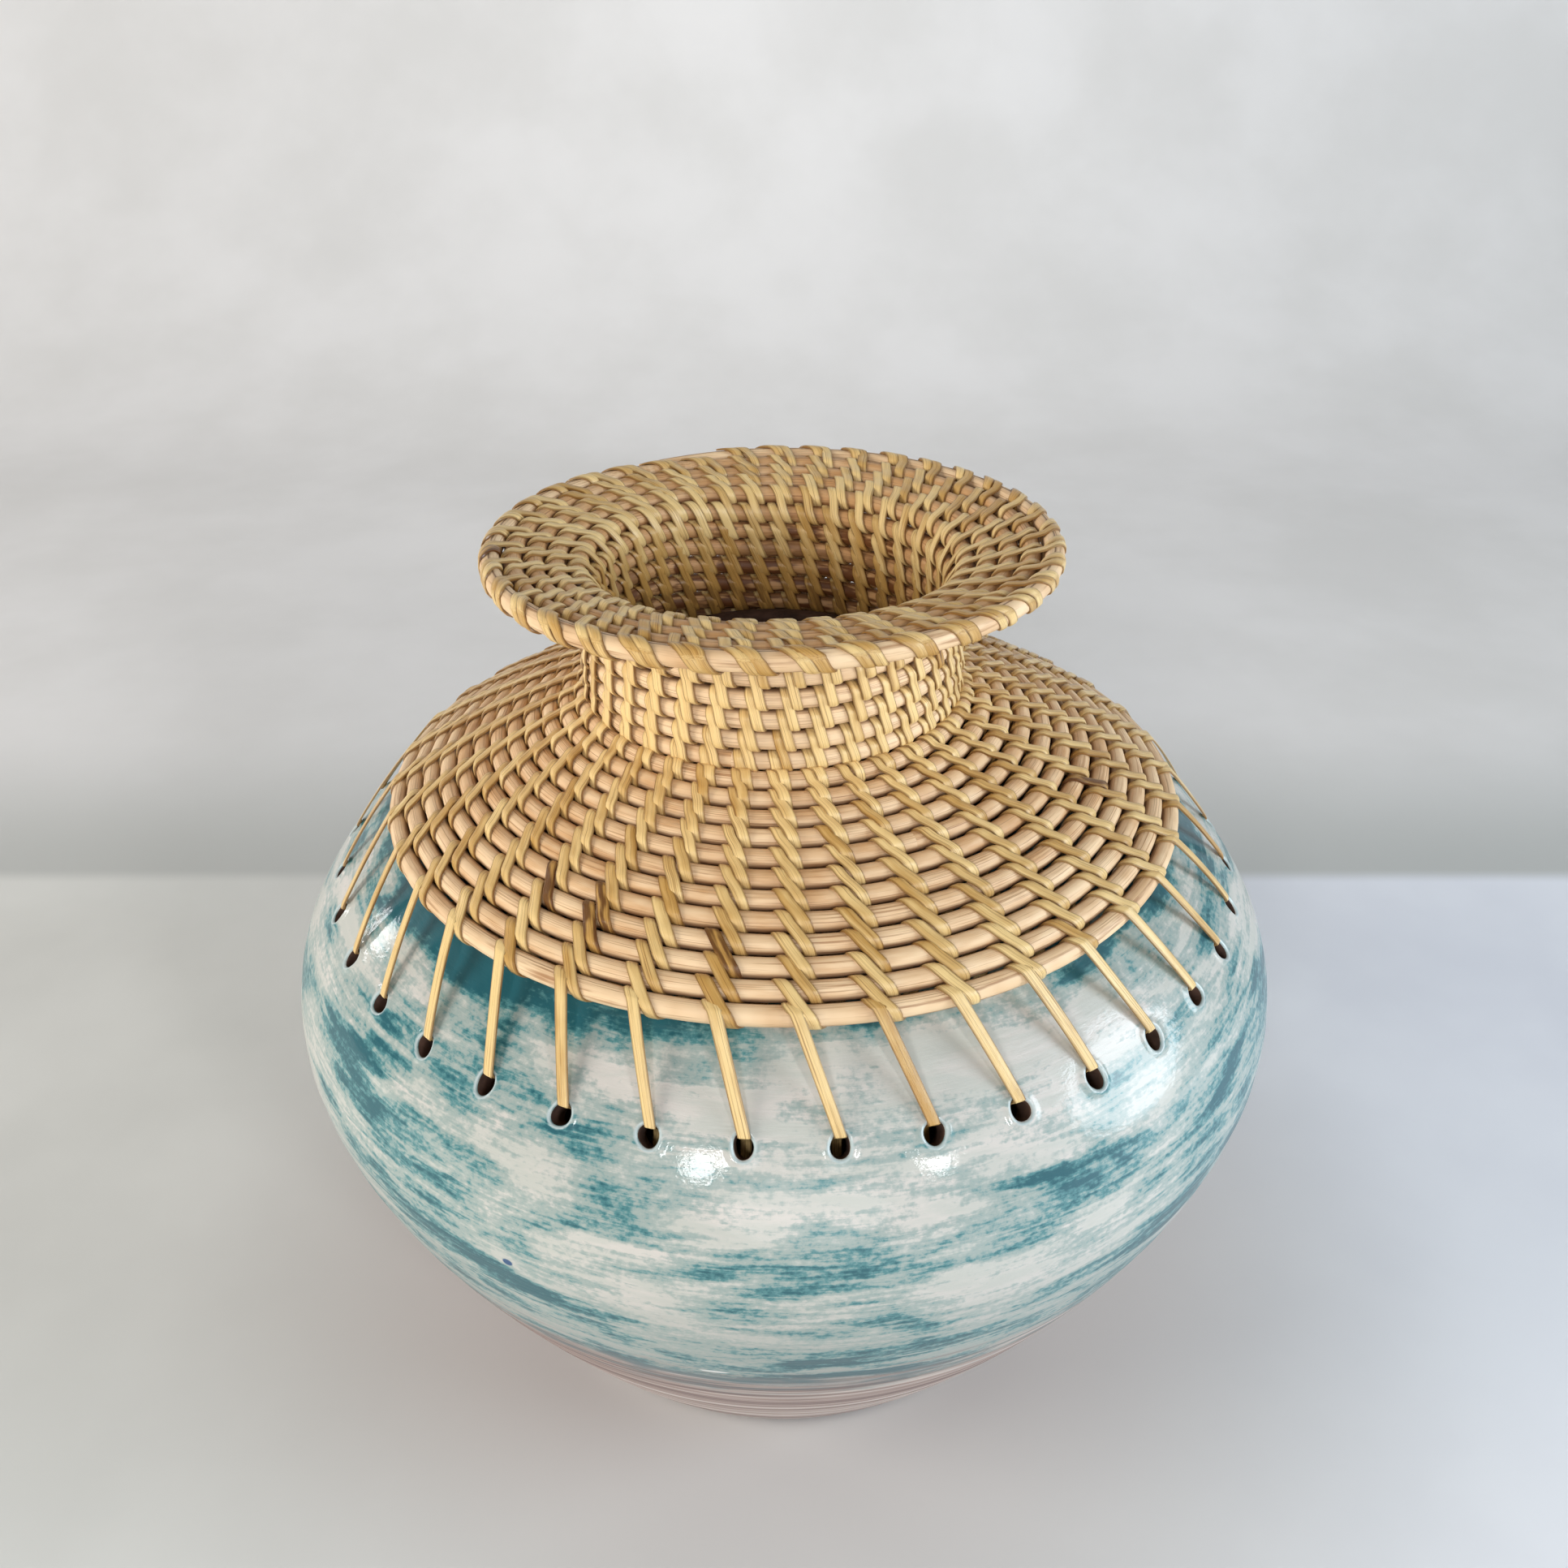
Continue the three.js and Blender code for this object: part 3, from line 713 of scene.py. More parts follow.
def close_middle(parts, ring, height, finish=0):
    """A fan of faces from a ring to its middle"""
    middle = parts.add([(0, 0, height)])[0]
    for here, there in zip(ring, np.roll(ring, -1)):
        parts.cap((middle, here, there), finish)


def lip_rings(parts):
    """The lip that stands up into the collar: outside, rounded top and inside"""
    inside = LIP_RADIUS - LIP_WALL
    rings = [level_ring(parts, LIP_RADIUS, SHOULDER_HEIGHT + LIP_FOOT)]
    rings += [level_ring(parts, LIP_RADIUS - side, LIP_TOP - down) for side, down in LIP_ROUNDING]
    rings += [level_ring(parts, inside + side, LIP_TOP - down) for side, down in LIP_ROUNDING[::-1]]
    return rings + [level_ring(parts, inside, SHOULDER_HEIGHT - LIP_INSIDE_FOOT)]


def bore_holes(parts, outer_edges, inner_edges):
    """Walls of raw clay from each hole's edge outside to its edge inside"""
    for number, ((outer, hole), (inner, _)) in enumerate(zip(outer_edges, inner_edges)):
        rings = [outer]
        for share, depth in HOLE_BORE:
            azimuth = hole_azimuths[number] + hole[:, 0] * share / hole_point[0]
            rings.append(parts.add(on_pot(azimuth, hole_length + hole[:, 1] * share, -depth)))
        skin_all(parts, rings + [inner], finish=1)


def make_pot():
    parts = MeshParts()
    below, above = hole_length - BAND, hole_length + BAND
    outside_low = [wall_ring(parts, s) for s in np.linspace(WALL_START_LENGTH, below, OUTSIDE_RINGS)]
    foot = [level_ring(parts, r, 0.0) for r in (*FOOT_FLAT_RADII, FOOT_RADIUS - FOOT_BEVEL)]
    foot.append(level_ring(parts, FOOT_RADIUS - FOOT_ROUND, FOOT_ROUND))
    close_middle(parts, foot[0][::-1], 0.0)
    skin_all(parts, foot + outside_low)
    shoulder_end = pot_line.length - SHOULDER_STOP
    outside_high = [wall_ring(parts, s) for s in np.linspace(above, shoulder_end, SHOULDER_RINGS)]
    skin_all(parts, outside_high)
    lip = lip_rings(parts)
    skin_all(parts, [outside_high[-1]] + lip, finish=1)
    inside_end = pot_line.length - INSIDE_STOP
    inside_high = [wall_ring(parts, s, WALL) for s in np.linspace(inside_end, above, INSIDE_HIGH_RINGS)]
    skin_all(parts, [lip[-1]] + inside_high, finish=1)
    inside_low = [wall_ring(parts, s, WALL) for s in np.linspace(below, FLOOR_EDGE_LENGTH, INSIDE_LOW_RINGS)]
    floor_radius = pot_line.place(np.array([FLOOR_EDGE_LENGTH]))[0, 0] - WALL - FLOOR
    inside_low += [level_ring(parts, r, FLOOR) for r in (floor_radius, floor_radius / 2)]
    skin_all(parts, inside_low, finish=1)
    close_middle(parts, inside_low[-1], FLOOR, finish=1)
    outer_edges = hole_patches(parts, outside_low[-1], outside_high[0], 0.0, 1.0)
    inner_edges = hole_patches(parts, inside_low[0], inside_high[-1], WALL, 0.0)
    bore_holes(parts, outer_edges, inner_edges)
    return parts.build("pot", [PAINT, RAW_CLAY])


pot = make_pot()
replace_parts(pot, "pot_shell")

# %% [markdown]
# ## Rattan grain
# Core and peel come from the same cane, so both show fine streaks along their length and slow changes of
# tone. One node group makes those two masks from the length-and-width coordinate of each piece, and each
# material colours them in its own way.

# %% Rattan grain group
TONE_SHIFT = 61.0  # moves pieces of different tone to different grain


def rattan_grain_group():
    """Streaks along the cane and slow blotches, both from 0 to 1"""
    group = bpy.data.node_groups.new("rattan_grain", "ShaderNodeTree")
    for name, kind in (("Place", "Vector"), ("Tone", "Float"), ("Streaks Across", "Float")):
        group.interface.new_socket(name, in_out="INPUT", socket_type="NodeSocket" + kind)
    for name in ("Streak", "Blotch"):
        group.interface.new_socket(name, in_out="OUTPUT", socket_type="NodeSocketFloat")
    entry = group.nodes.new("NodeGroupInput").outputs
    leave = group.nodes.new("NodeGroupOutput").inputs
    along = axis(group, entry["Place"], "X")
    across = calculate(group, "MULTIPLY", axis(group, entry["Place"], "Y"), entry["Streaks Across"])
    shift = calculate(group, "MULTIPLY", entry["Tone"], TONE_SHIFT)
    lines = add_node(group, "ShaderNodeCombineXYZ", {"X": along, "Y": across, "Z": shift}).outputs[0]
    group.links.new(noise(group, stretched(group, lines, (0.35, 1, 1)), 1.0, 4.0, 0.62), leave["Streak"])
    group.links.new(noise(group, stretched(group, lines, (0.9, 0.12, 1)), 1.0, 2.0, 0.5), leave["Blotch"])
    return group


RATTAN_GRAIN = rattan_grain_group()
print("grain nodes:", len(RATTAN_GRAIN.nodes))

# %% Core and peel
# Tones in this range take the scar colour: real scars of the peel, and painted deep shade inside the neck
SCAR_AND_DEEP_SHADE_TONES = 0.90, 0.99
STREAK_COVER, PAINTED_SHADE_COVER, BLOTCH_SHARE = 0.75, 0.75, 0.9


def rattan(name, colours, streaks, shade_from, shade_at, roughness, relief):
    """A cane finish: pale to warm by tone, dark streaks, painted shade at the edges, and scars and painted
    deep shade at the highest tones
    """
    material, tree, shader = new_material(name, Roughness=roughness)
    place = add_node(tree, "ShaderNodeUVMap", uv_map="along_and_across").outputs[0]
    tone = add_node(tree, "ShaderNodeAttribute", attribute_name="tone").outputs["Fac"]
    feeds = {"Place": place, "Tone": tone, "Streaks Across": streaks}
    grain = add_node(tree, "ShaderNodeGroup", feeds, node_tree=RATTAN_GRAIN).outputs
    from_usual = calculate(tree, "SUBTRACT", grain["Blotch"], 0.5)
    warmth = calculate(tree, "MULTIPLY_ADD", from_usual, BLOTCH_SHARE, tone)
    body = blend(tree, fade(tree, warmth, 0.15, 0.85), colours["pale"], colours["warm"])
    streaked = calculate(tree, "MULTIPLY", fade(tree, grain["Streak"], 0.50, 0.70), STREAK_COVER)
    body = blend(tree, streaked, body, colours["streak"])
    from_middle = calculate(tree, "ABSOLUTE", calculate(tree, "SUBTRACT", axis(tree, place, "Y"), 0.5))
    # Painted shade: darker where a rod faces its neighbours and along a strip's edges
    shade_share = calculate(tree, "MULTIPLY", fade(tree, from_middle, shade_from, shade_at), PAINTED_SHADE_COVER)
    body = blend(tree, shade_share, body, colours["painted_shade"])
    blotched = fade(tree, grain["Blotch"], 0.40, 0.55)
    # Scar colour, and painted deep shade where tones inside the neck run this high
    scarred = calculate(tree, "MULTIPLY", fade(tree, tone, *SCAR_AND_DEEP_SHADE_TONES), blotched)
    tree.links.new(blend(tree, scarred, body, colours["scar_and_deep_shade"]), shader.inputs["Base Color"])
    add_bump(tree, shader, grain["Streak"], relief, 0.0003)
    return material


# A rod has no scars; its scar colour shows only as painted deep shade inside the neck
CORE_COLOURS = {
    "pale": colour(243, 212, 171),
    "warm": colour(205, 157, 106),
    "streak": colour(152, 100, 56),
    "painted_shade": colour(104, 58, 25),
    "scar_and_deep_shade": colour(110, 66, 34),
}
PEEL_COLOURS = {
    "pale": colour(241, 209, 146),
    "warm": colour(196, 152, 84),
    "streak": colour(142, 94, 42),
    "painted_shade": colour(110, 68, 25),
    "scar_and_deep_shade": colour(92, 54, 28),
}
# A rod gets painted shade in the gaps between the rows, a strip along its two edges
CORE = rattan(
    "rattan_core", CORE_COLOURS, streaks=26.0, shade_from=0.24, shade_at=0.06, roughness=0.5, relief=0.35
)
PEEL = rattan(
    "rattan_peel", PEEL_COLOURS, streaks=12.0, shade_from=0.32, shade_at=0.52, roughness=0.29, relief=0.5
)
print("rattan finishes:", CORE.name, PEEL.name)

# %% [markdown]
# ## The collar's line and the coil
# The collar is one long coil of rod. Its half section climbs the shoulder, turns up in a soft crease,
# rises as a neck and rolls out to the flare. Real coils climb a little on every turn; here each row keeps
# to one place of the section and steps up to the next at the back, so that the edge and the rim look like
# whole rings. This vase is not quite even: its flare lies flatter in front, and its rim hangs lower
# behind and at the left.

# %% Collar line
COLLAR_RADIUS, CREASE, FLARE_BEND, FLARE_SLOPE = 104.4, 9.0, 7.0, math.radians(15)
RIM_RADIUS, RIM_HEIGHT, ROWS = 70.9, 243.0, 23
CLIMB_TURNS, SHAVED_TIP = 1 / 6, 0.46
SHOULDER_STEPS, LINE_STEPS = 200, 60


def collar_line():
    """Middle of the rods: over the shoulder, up the neck and out along the flare"""
    reach = shoulder_line.reached
    lifted = Outline(shoulder_line.place(reach) + shoulder_line.outward(reach) * COLLAR_LIFT)
    ends = lifted.length_at_radius(COLLAR_RADIUS), lifted.length_at_radius(NECK_RADIUS + CREASE)
    over_shoulder = lifted.place(np.linspace(*ends, SHOULDER_STEPS))
    start = over_shoulder[-1]
    slope = lifted.direction(np.array(ends[1]))
    corner = np.array([NECK_RADIUS, start[1] - slope[1] / slope[0] * CREASE])
    neck_bottom = corner + (0, CREASE / 2)
    bend = math.pi / 2 - FLARE_SLOPE
    bend_end_radius = NECK_RADIUS + FLARE_BEND * (1 - math.cos(bend))
    bend_end_height = RIM_HEIGHT - (RIM_RADIUS - bend_end_radius) * math.tan(FLARE_SLOPE)
    neck_top = bend_end_height - FLARE_BEND * math.sin(bend)
    crease = bezier([start, corner, neck_bottom], np.linspace(0, 1, LINE_STEPS))
    neck_heights = np.linspace(neck_bottom[1], neck_top, LINE_STEPS)
    neck = np.column_stack([np.full(LINE_STEPS, NECK_RADIUS), neck_heights])
    turned = np.linspace(0, bend, LINE_STEPS)
    roll = np.column_stack(
        [NECK_RADIUS + FLARE_BEND * (1 - np.cos(turned)), neck_top + FLARE_BEND * np.sin(turned)]
    )
    flare = np.linspace(roll[-1], (RIM_RADIUS, RIM_HEIGHT), LINE_STEPS)
    return Outline(np.vstack([over_shoulder, crease, neck, roll, flare]))


section = collar_line()
ROW_PITCH = section.length / (ROWS - 1)
print(f"collar: {ROWS} rows at {ROW_PITCH:.2f} mm")

# %% The coil
ROD_RADIUS, SOLID_ROD_RADIUS, THINNEST_END = 2.5, 2.35, 0.4
OPENING = ROW_PITCH - 2 * SOLID_ROD_RADIUS
COIL_START = SHAVED_TIP * CLIMB_TURNS
COIL_END = ROWS + (1 - SHAVED_TIP) * CLIMB_TURNS
FLARE_ROWS = 15.8, 18.4, ROWS - 1  # top of the neck, inside of the flare, rim
FRONT_BULGE = 3.2  # in front the inside of the flare stands up, so that it lies flatter there
RIM_DROP, DROP_BEHIND, DROP_LEFT = 1.5, 0.75, 0.65  # the rim hangs a little lower behind and at the left
SPLICES = np.array([0.165, 0.328, 0.54, 0.73, 0.9]) * COIL_END


def coil_at(turn):
    """Row of the collar that the coil has reached at each turn, and the rod's radius there"""
    turn = np.asarray(turn, float)
    whole = np.floor(turn)
    climbed = smooth_step((turn - whole) / CLIMB_TURNS)
    row = whole - 1 + climbed
    radius = np.full_like(row, ROD_RADIUS)
    for at_end, is_there in ((False, whole < 1), (True, whole >= ROWS)):
        room = np.maximum((1 - climbed if at_end else climbed) * ROW_PITCH - OPENING, THINNEST_END)
        shaved = (SOLID_ROD_RADIUS - room / 2) / ROW_PITCH
        row = np.where(is_there, ROWS - 1 + shaved if at_end else -shaved, row)
        radius = np.where(is_there, room / 2 * ROD_RADIUS / SOLID_ROD_RADIUS, radius)
    return row, radius


def uneven_rise(row, azimuth):
    """How far the flare of this one vase stands above its true line"""
    in_front = np.clip(-np.sin(azimuth), 0, 1) ** 2
    bulge = FRONT_BULGE * in_front * np.interp(row, FLARE_ROWS, (0, 1, 0))
    drop = RIM_DROP * (1 + DROP_BEHIND * np.sin(azimuth) - DROP_LEFT * np.cos(azimuth))
    return bulge - drop * np.interp(row, (FLARE_ROWS[0], ROWS - 1), (0, 1))


def collar_frame(turn):
    """Places on the coil, directions up the section, out of it and round the vase, and the rod's radius"""
    row, radius = coil_at(turn)
    azimuth = BACK + 2 * math.pi * np.asarray(turn)
    length = row * ROW_PITCH
    flat = section.place(length) + np.stack([np.zeros_like(row), uneven_rise(row, azimuth)], -1)
    up = around_axis(section.direction(length), azimuth)
    out = around_axis(section.outward(length), azimuth)
    around = np.stack([-np.sin(azimuth), np.cos(azimuth), np.zeros_like(azimuth)], -1)
    return leaned(around_axis(flat, azimuth)), up, out, around, radius


print(f"coil from turn {COIL_START:.3f} to {COIL_END:.3f}")

# %% [markdown]
# ## The rods
# Rattan core is drawn through a die, so it is round, but it swells and thins a little and never lies
# quite straight. A curve with a round bevel would be quick; rings of points let the thickness and the lie
# wander, and carry the coordinate that the grain follows. Each rod ends where it was spliced to the next.

# %% Rods
STEPS_PER_TURN, ROD_SIDES, ROD_SHARP = 120, 14, math.radians(60)
GRAIN_LENGTH = 10  # millimetres of cane to one unit of its grain
THICKNESS_WANDER, RISE_WANDER, HEIGHT_WANDER = 0.008, 0.05, 0.06
# Rods and strips get painted shade on the inside of the neck, darkest deep down
INNER_PAINTED_SHADE, DEEP_SHADE, DEEP_ROW = 0.3, 0.55, 18.5
NECK_START, NECK_END = 9, 17
FREE_SIDE = 0.8  # share of the painted shade that a side without a neighbour is spared


def wander(turn, seed, size):
    """A slow, smooth, repeatable drift"""
    angle = 2 * math.pi * turn
    return size * (np.sin(2.7 * angle + seed) + 0.6 * np.sin(6.1 * angle + 2.1 * seed))


def make_rod(name, start, end, tone):
    turns = np.linspace(start, end, int((end - start) * STEPS_PER_TURN) + 2)
    centre, up, out, _, radius = collar_frame(turns)
    radius = radius * (1 + wander(turns, 1.3, THICKNESS_WANDER))
    centre = centre + up * wander(turns, 0.4, RISE_WANDER)[:, None]
    centre = centre + out * wander(turns, 2.2, HEIGHT_WANDER)[:, None]
    travelled = lengths_along(centre) / GRAIN_LENGTH
    row = coil_at(turns)[0]
    in_neck = smooth_step((row - NECK_START) / 3) * smooth_step(ROWS - 1 - row)
    # Painted shade on the rod's inner side in the neck, as a higher tone
    shade = (INNER_PAINTED_SHADE + DEEP_SHADE * smooth_step((DEEP_ROW - row) / 5)) * in_neck
    free_above, free_below = smooth_step(row - ROWS + 2), smooth_step(1 - row)
    shares = np.arange(ROD_SIDES) / ROD_SIDES
    rise, height = np.sin(-2 * math.pi * shares), np.cos(-2 * math.pi * shares)
    from_crown = 1 - np.abs(shares * 2 - 1)
    inner_side = smooth_step(0.5 - height)
    parts = MeshParts()
    rings = []
    for i in range(len(turns)):
        ring = centre[i] + radius[i] * (rise[:, None] * up[i] + height[:, None] * out[i])
        free = np.where(rise > 0, free_above[i], free_below[i])
        # The across coordinate places the rod's painted gap shade, spared where no neighbour lies
        across = 1 - from_crown * (1 - FREE_SIDE * free)
        coordinates = np.column_stack([np.full(ROD_SIDES, travelled[i]), across])
        rings.append(parts.add(ring, coordinates, tone + shade[i] * inner_side))
    parts.tube(rings)
    rod = parts.build(name, [CORE], ROD_SHARP)
    return rod


stops = [COIL_START, *SPLICES, COIL_END]
ROD_NODES = ["shoulder_rod_1", "shoulder_rod_2", "shoulder_rod_3", "neck_rod", "flare_rod", "rim_rod"]
ROD_TONES = [0.35, 0.50, 0.42, 0.22, 0.42, 0.38]
for number, node in enumerate(ROD_NODES):
    rod = make_rod(f"{node}_core", stops[number], stops[number + 1], ROD_TONES[number])
    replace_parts(rod, node)

# %% [markdown]
# ## Flat strips
# Peel is split from the skin of the cane: flat inside, slightly crowned outside, with crisp edges. A
# strip is swept along a smooth line through a few chosen points. Its width is kept lying round the vase,
# so it never twists where it turns in the gap between two rods.

# %% Strip helpers
STRIP_SECTION = np.array(
    [(-0.5, -0.5), (0.5, -0.5), (0.5, 0.15), (0.36, 0.42), (0.0, 0.5), (-0.36, 0.42), (-0.5, 0.15)]
)
STRIP_THICKNESS, STRIP_SHARP, STEEPEST_SLANT = 0.6, math.radians(50), 0.45


def smooth_line(points, steps):
    """A smooth line through points, with a number of steps between each two"""
    points = np.asarray(points, float)
    padded = np.vstack([2 * points[:1] - points[1:2], points, 2 * points[-1:] - points[-2:-1]])
    share = (np.arange(steps) / steps)[None, :, None]
    a, b, c, d = (padded[k : len(points) - 1 + k, None] for k in range(4))
    squared, cubed = 2 * a - 5 * b + 4 * c - d, 3 * b - a - 3 * c + d
    line = 0.5 * (2 * b + (c - a) * share + squared * share**2 + cubed * share**3)
    return np.vstack([line.reshape(-1, points.shape[1]), points[-1:]])


def make_strip(name, points, lying, width, tone):
    """One strip of peel; lying is the direction of its width at each point"""
    through = np.cross(unit(np.gradient(points, axis=0)), lying)
    slant = np.linalg.norm(through, axis=1)
    through /= slant[:, None]
    spread = lying * (width / np.clip(slant, STEEPEST_SLANT, 1))[:, None]
    travelled = lengths_along(points) / GRAIN_LENGTH
    tone = np.broadcast_to(tone, (len(points),))
    parts = MeshParts()
    rings = []
    for i in range(len(points)):
        thick = STRIP_SECTION[:, 1:] * STRIP_THICKNESS * through[i]
        coordinates = np.column_stack([np.full(len(thick), travelled[i]), STRIP_SECTION[:, 0] + 0.5])
        rings.append(parts.add(points[i] + STRIP_SECTION[:, :1] * spread[i] + thick, coordinates, tone[i]))
    parts.tube(rings)
    strip = parts.build(name, [PEEL], STRIP_SHARP)
    return strip


print("strip section of", len(STRIP_SECTION), "points")

# %% [markdown]
# ## The bindings
# One strip winds round each pair of rows, like an oversewn seam: out of the gap above the upper rod, down
# and across both rods, in below the lower one and back up behind them. Every rod therefore shows two
# strips side by side in each sector, the start of one stitch and the end of another, and the stitches
# line up in columns.

# %% Stitch tables
# Each point: row (0 lower, 1 upper), rise and height in rod radii, share of the sector moved round
STITCH = [
    (1, 1.08, -0.10, 0.00),
    (1, 0.88, 0.70, 0.02),
    (1, 0.30, 1.12, 0.08),
    (1, -0.60, 1.06, 0.17),
    (0, 0.60, 1.06, 0.27),
    (0, -0.30, 1.12, 0.36),
    (0, -0.88, 0.70, 0.42),
    (0, -1.08, -0.10, 0.45),
    (0, -0.88, -0.76, 0.49),
    (0, -0.30, -1.12, 0.56),
    (0, 0.60, -1.06, 0.66),
    (1, -0.60, -1.06, 0.78),
    (1, 0.30, -1.12, 0.88),
    (1, 0.88, -0.76, 0.95),
]
# At the rim the same stitch runs round the outer edge at a slant
RIM_STITCH = [
    (1, 1.08, -0.10, 0.00),
    (1, 0.80, 0.75, 0.12),
    (1, 0.20, 1.12, 0.20),
    (1, -0.60, 1.06, 0.25),
    (0, 0.60, 1.06, 0.29),
    (0, -0.30, 1.12, 0.33),
    (0, -0.88, 0.70, 0.36),
    (0, -1.08, -0.10, 0.38),
    (0, -0.88, -0.76, 0.41),
    (0, -0.30, -1.12, 0.46),
    (0, 0.60, -1.06, 0.52),
    (1, -0.60, -1.06, 0.58),
    (1, 0.30, -1.12, 0.72),
    (1, 0.88, -0.76, 0.87),
]
# The rim rod is wrapped once more on its own, close beside each stitch
RIM_WRAP = [
    (1, 1.06, -0.15, 0.25),
    (1, 0.78, 0.82, 0.37),
    (1, 0.00, 1.18, 0.47),
    (1, -0.80, 0.84, 0.54),
    (1, -1.05, -0.05, 0.64),
    (1, -0.85, -0.85, 0.78),
    (1, -0.30, -1.20, 0.86),
    (1, 0.30, -1.20, 0.97),
    (1, 0.85, -0.85, 1.12),
]
OUTER_SHARE = 0.45  # how far the outer legs of the first table move round
NECK_ROWS, NECK_OUTER_SHARES = (8, 12, 17, 20), (OUTER_SHARE, 0.34, 0.30, 0.38)
COLUMN_DRIFT, DRIFT_START, DRIFT_ROWS = 0.11, 10.5, 6


def moved_round(moved, row):
    """Shares of the table for one row: on the narrow neck more of the way round is made on the inside"""
    if row >= ROWS - 2:
        return moved
    outer = np.interp(row, NECK_ROWS, NECK_OUTER_SHARES)
    if moved <= OUTER_SHARE:
        return moved * outer / OUTER_SHARE
    return outer + (moved - OUTER_SHARE) * (1 - outer) / (1 - OUTER_SHARE)


def column_drift(row):
    """Columns lean a little to the right as they climb the neck, in sectors"""
    return COLUMN_DRIFT * np.clip(row - DRIFT_START, 0, DRIFT_ROWS)


print("points in a stitch:", len(STITCH), len(RIM_STITCH), len(RIM_WRAP))

# %% Stitch tones and places
FIRST_COLUMN, STITCH_STEPS, END_MARGIN = 0.43, 2, 0.002
COLUMN_JITTER, TONE_JITTER, WIDTH_JITTER = 0.018, 0.14, 0.06
TONE_ROWS, USUAL_TONES = (9, 12, 16, 19, 21), (0.45, 0.25, 0.25, 0.32, 0.50)
# The last two tones set the painted shade of strips inside the neck
LOWEST_TONE, HIGHEST_TONE, HIGHEST_INNER_SHADE_TONE, DEEP_SHADE_TONE = 0.02, 0.88, 0.89, 0.945
SCAR_TONE, SCAR_CHANCE = 0.97, 0.012
SCARRED = (89, 91, 125, 126)  # stitches on the front whose skin is scarred brown
CROWDED_ROW, CROWDED_ROWS, CROWDED_LIFT = 14.5, 12, 0.2  # crowded legs ride up over each other
STRIP_RADII, STRIP_WIDTHS = (45, 62, 104), (2.6, 2.7, 2.9)


def stitch_tones(stitches):
    """A tone for each stitch: paler on the neck, with a few scars"""
    usual = np.interp(stitches / LACE_COUNT, TONE_ROWS, USUAL_TONES)
    tones = np.clip(usual + random.normal(0, TONE_JITTER, len(stitches)), LOWEST_TONE, HIGHEST_TONE)
    scarred = random.random(len(stitches)) < SCAR_CHANCE
    tones[scarred | np.isin(stitches, SCARRED)] = SCAR_TONE
    return tones


def inner_tones(tone, height, row):
    """The same tones, with painted shade where a strip runs on the inside of the neck, darkest deep down"""
    inside = (height < -0.5) & (row > NECK_START) & (row < NECK_END)
    tone = np.where(inside, np.minimum(tone + INNER_PAINTED_SHADE, HIGHEST_INNER_SHADE_TONE), tone)
    return np.maximum(tone, DEEP_SHADE_TONE * inside * smooth_step((DEEP_ROW - 1 - row) / 4))


def stitch_places(stitches, jitter, pattern):
    """Turn of the coil, rise and height of every point of the stitches"""
    places = []
    for stitch, slip in zip(stitches, jitter):
        row = stitch / LACE_COUNT
        start = (stitch + FIRST_COLUMN + column_drift(row) + slip) / LACE_COUNT
        crowding = np.clip((CROWDED_ROW - abs(row - CROWDED_ROW)) / CROWDED_ROWS, 0, 1)
        for upper, rise, height, moved in pattern:
            if not upper and height > 0.9:
                height += CROWDED_LIFT * crowding
            places.append((start + upper + moved_round(moved, row) / LACE_COUNT, rise, height))
    turns, rises, heights = np.array(places).T
    return np.minimum(turns, COIL_END - END_MARGIN), rises, heights


print("scarred stitches:", SCARRED)

# %% Bindings


def make_binding(name, first_row, last_row, pattern):
    """The stitches whose lower row runs from first_row to last_row"""
    stitches = np.arange(first_row * LACE_COUNT, (last_row + 1) * LACE_COUNT)
    if first_row == 0:
        stitches = stitches[int(COIL_START * LACE_COUNT) + 1 :]
    jitter = random.normal(0, COLUMN_JITTER, len(stitches))
    tones = stitch_tones(stitches)
    widths = random.normal(1.0, WIDTH_JITTER, len(stitches))
    turns, rises, heights = stitch_places(stitches, jitter, pattern)
    centre, up, out, around, radius = collar_frame(turns)
    points = centre + up * (rises * radius)[:, None] + out * (heights * radius)[:, None]
    line = smooth_line(points, STITCH_STEPS)
    lying = unit(smooth_line(around, STITCH_STEPS))
    height = smooth_line(heights[:, None], STITCH_STEPS)[:, 0]
    owners = np.arange(len(line)) // (STITCH_STEPS * len(pattern))
    owners = np.minimum(owners, len(stitches) - 1)
    width = np.interp(np.linalg.norm(line[:, :2], axis=1), STRIP_RADII, STRIP_WIDTHS) * widths[owners]
    tone = inner_tones(tones[owners], height, stitches[owners] / LACE_COUNT)
    return make_strip(name, line, lying, width, tone)


edge_binding = make_binding("edge_stitches", 0, 0, STITCH)
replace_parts(edge_binding, "edge_binding")
make_binding("shoulder_stitches", 1, 9, STITCH)
make_binding("neck_stitches", 10, 15, STITCH)
make_binding("flare_stitches", 16, ROWS - 3, STITCH)
rim_binding = make_binding("rim_stitches", ROWS - 2, ROWS - 2, RIM_STITCH)
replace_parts(rim_binding, "rim_binding")
make_binding("rim_wraps", ROWS - 2, ROWS - 2, RIM_WRAP)

# %% [markdown]
# ## The laces
# Each lace hooks behind the lowest rod, comes out through the gap above it, crosses the rod and is drawn
# straight down to its hole, narrowing on the way. It is pulled taut, so between the rod and the hole it
# hardly sags, and it leaves the lower half of the hole open.

# %% Laces
LACE_WIDTH, LACE_TIP_WIDTH, LACE_STEPS = 3.2, 2.35, 4
LACE_SHARES = 0.06, 0.12, 0.17  # of a sector moved round behind the rod, over it and below it
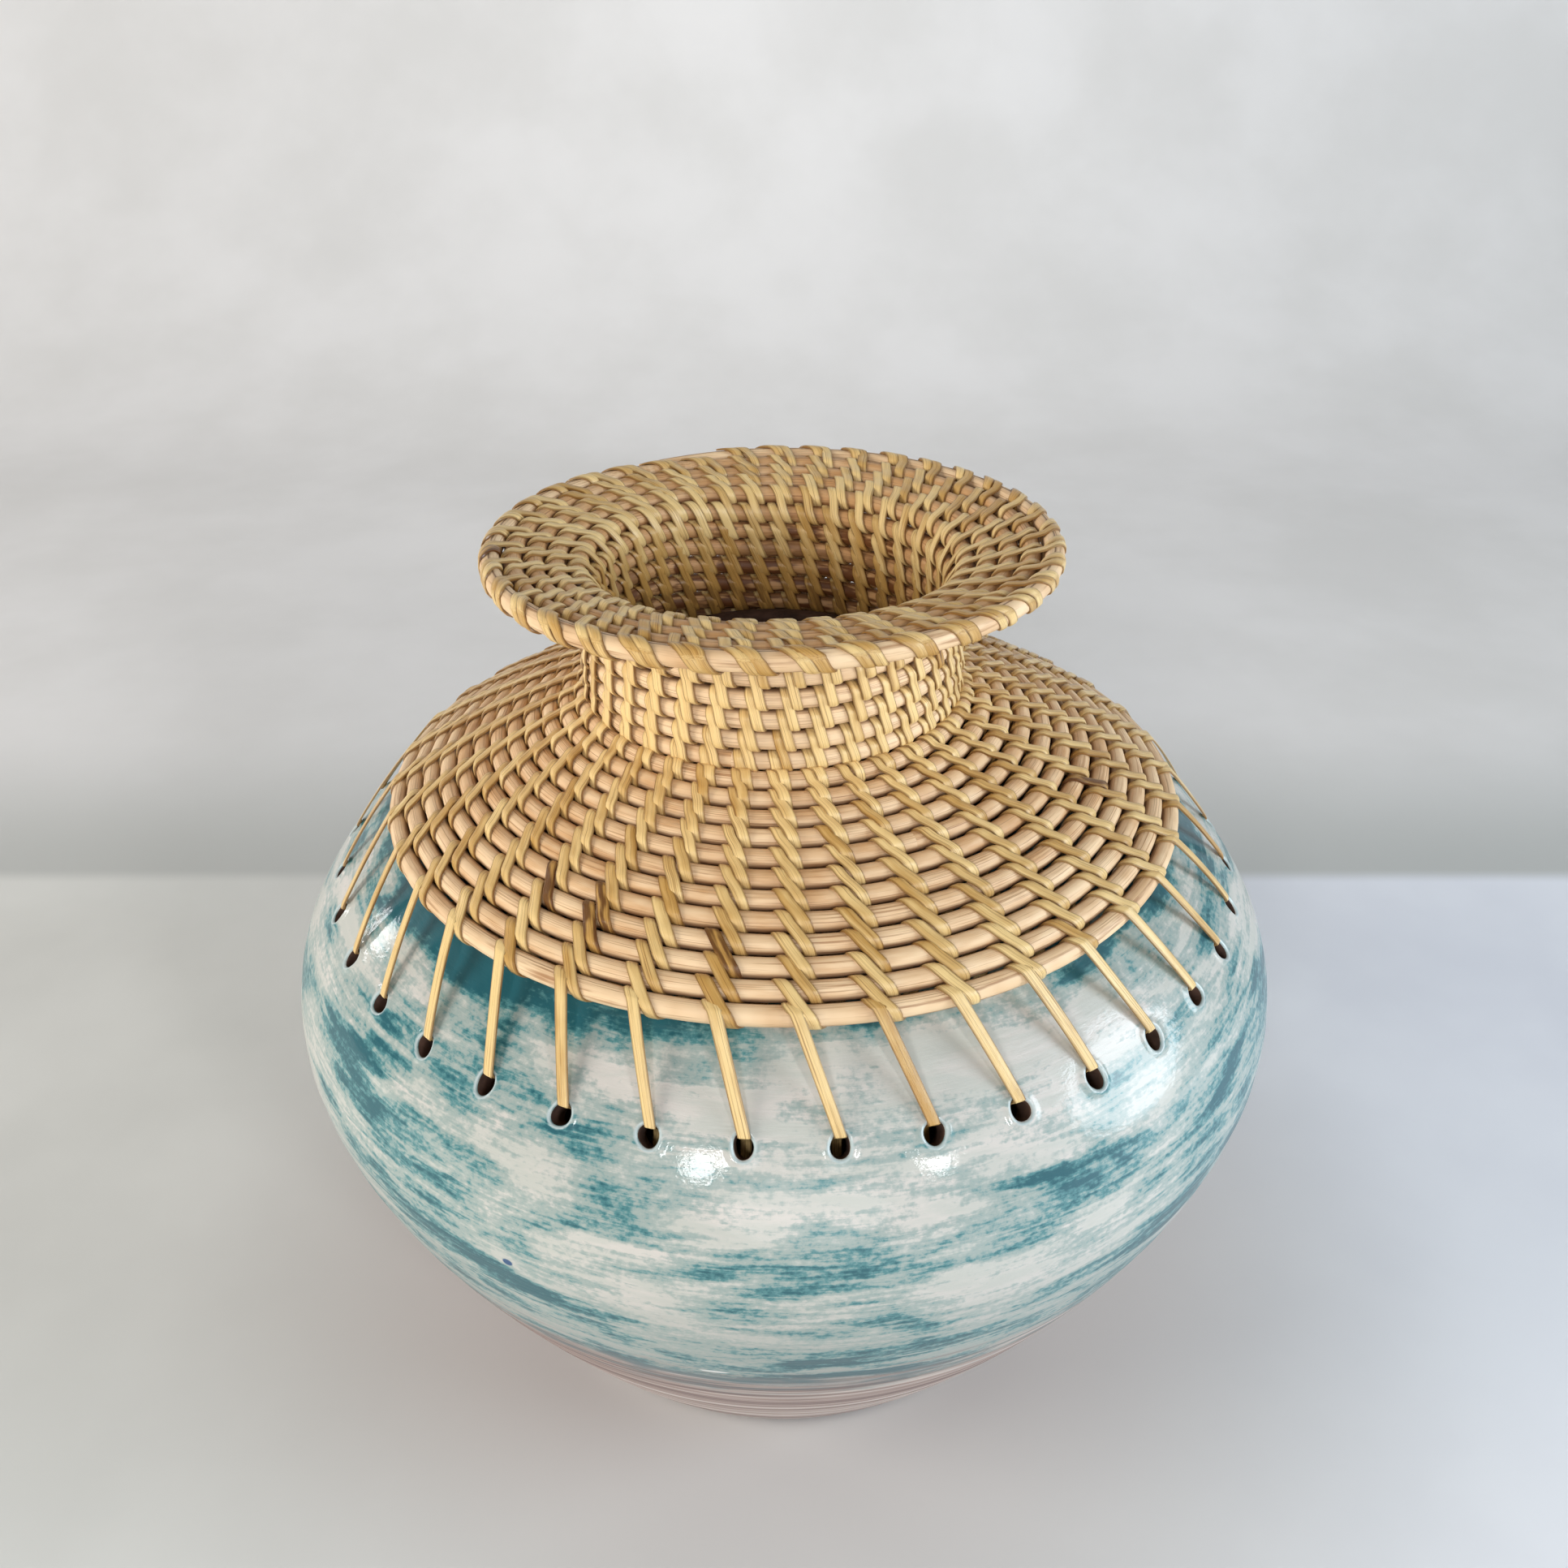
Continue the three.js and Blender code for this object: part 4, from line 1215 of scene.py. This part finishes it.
# Rise and height in rod radii: from behind the lowest rod out through the gap above it, then across the rod
LACE_HOOK = [(-0.2, -1.15), (0.75, -0.85), (1.08, 0.0), (0.78, 0.86)]
LACE_OVER, LACE_LOWER = (0.1, 1.16), (-0.6, 1.08)
LACE_SPAN, LACE_TURN = (0.33, 0.68), (-0.35, 1.25)  # shares of the way down, and of the turn to the hole
# Rise and height in millimetres from the middle of the hole: in under its upper edge and down inside the pot
LACE_TAIL = [(2.5, 0.8), (2.1, 0.1), (1.7, -2.2), (1.3, -6.8), (-1.0, -8.2), (-5.6, -8.6)]
SLIP_JITTER, LACE_WIDTH_JITTER, LACE_BOWS, LACE_TONES = 0.012, 0.04, (0.1, 0.5), (0.1, 0.7)


def by_rod(place, rise, height):
    """A point beside the coil, in rod radii"""
    centre, up, out, _, radius = place
    return centre + up * rise * radius + out * height * radius


def make_lace(number):
    turn = (number + 0.5) / LACE_COUNT
    if turn < COIL_START:
        turn += 1
    slip = random.normal(0, SLIP_JITTER)
    behind, over, lower = [collar_frame(np.array(turn + (s + slip) / LACE_COUNT)) for s in LACE_SHARES]
    azimuth = hole_azimuths[number]
    around_hole = np.array([-math.sin(azimuth), math.cos(azimuth), 0.0])
    up_wall = around_axis(pot_line.direction(np.array(hole_length)), azimuth)
    out_wall = around_axis(pot_line.outward(np.array(hole_length)), azimuth)
    hole = on_pot(azimuth, hole_length)
    bow = random.uniform(*LACE_BOWS)
    hook = [by_rod(behind, rise, height) for rise, height in LACE_HOOK]
    crest = [by_rod(over, *LACE_OVER), by_rod(lower, *LACE_LOWER)]
    tail = [hole + up_wall * rise + out_wall * height for rise, height in LACE_TAIL]
    span = [crest[-1] + (tail[0] - crest[-1]) * share + out_wall * bow for share in LACE_SPAN]
    line = smooth_line(np.array(hook + crest + span + tail), LACE_STEPS)
    share = np.clip(np.linspace(*LACE_TURN, len(line)), 0, 1)[:, None]
    lying = unit(behind[3] * (1 - share) + around_hole * share)
    width = LACE_WIDTH + (LACE_TIP_WIDTH - LACE_WIDTH) * share[:, 0]
    width = width * random.normal(1, LACE_WIDTH_JITTER)
    return make_strip(f"lace_strip_{number + 1:02d}", line, lying, width, random.uniform(*LACE_TONES))


for number in range(LACE_COUNT):
    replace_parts(make_lace(number), f"lace_{number + 1:02d}")
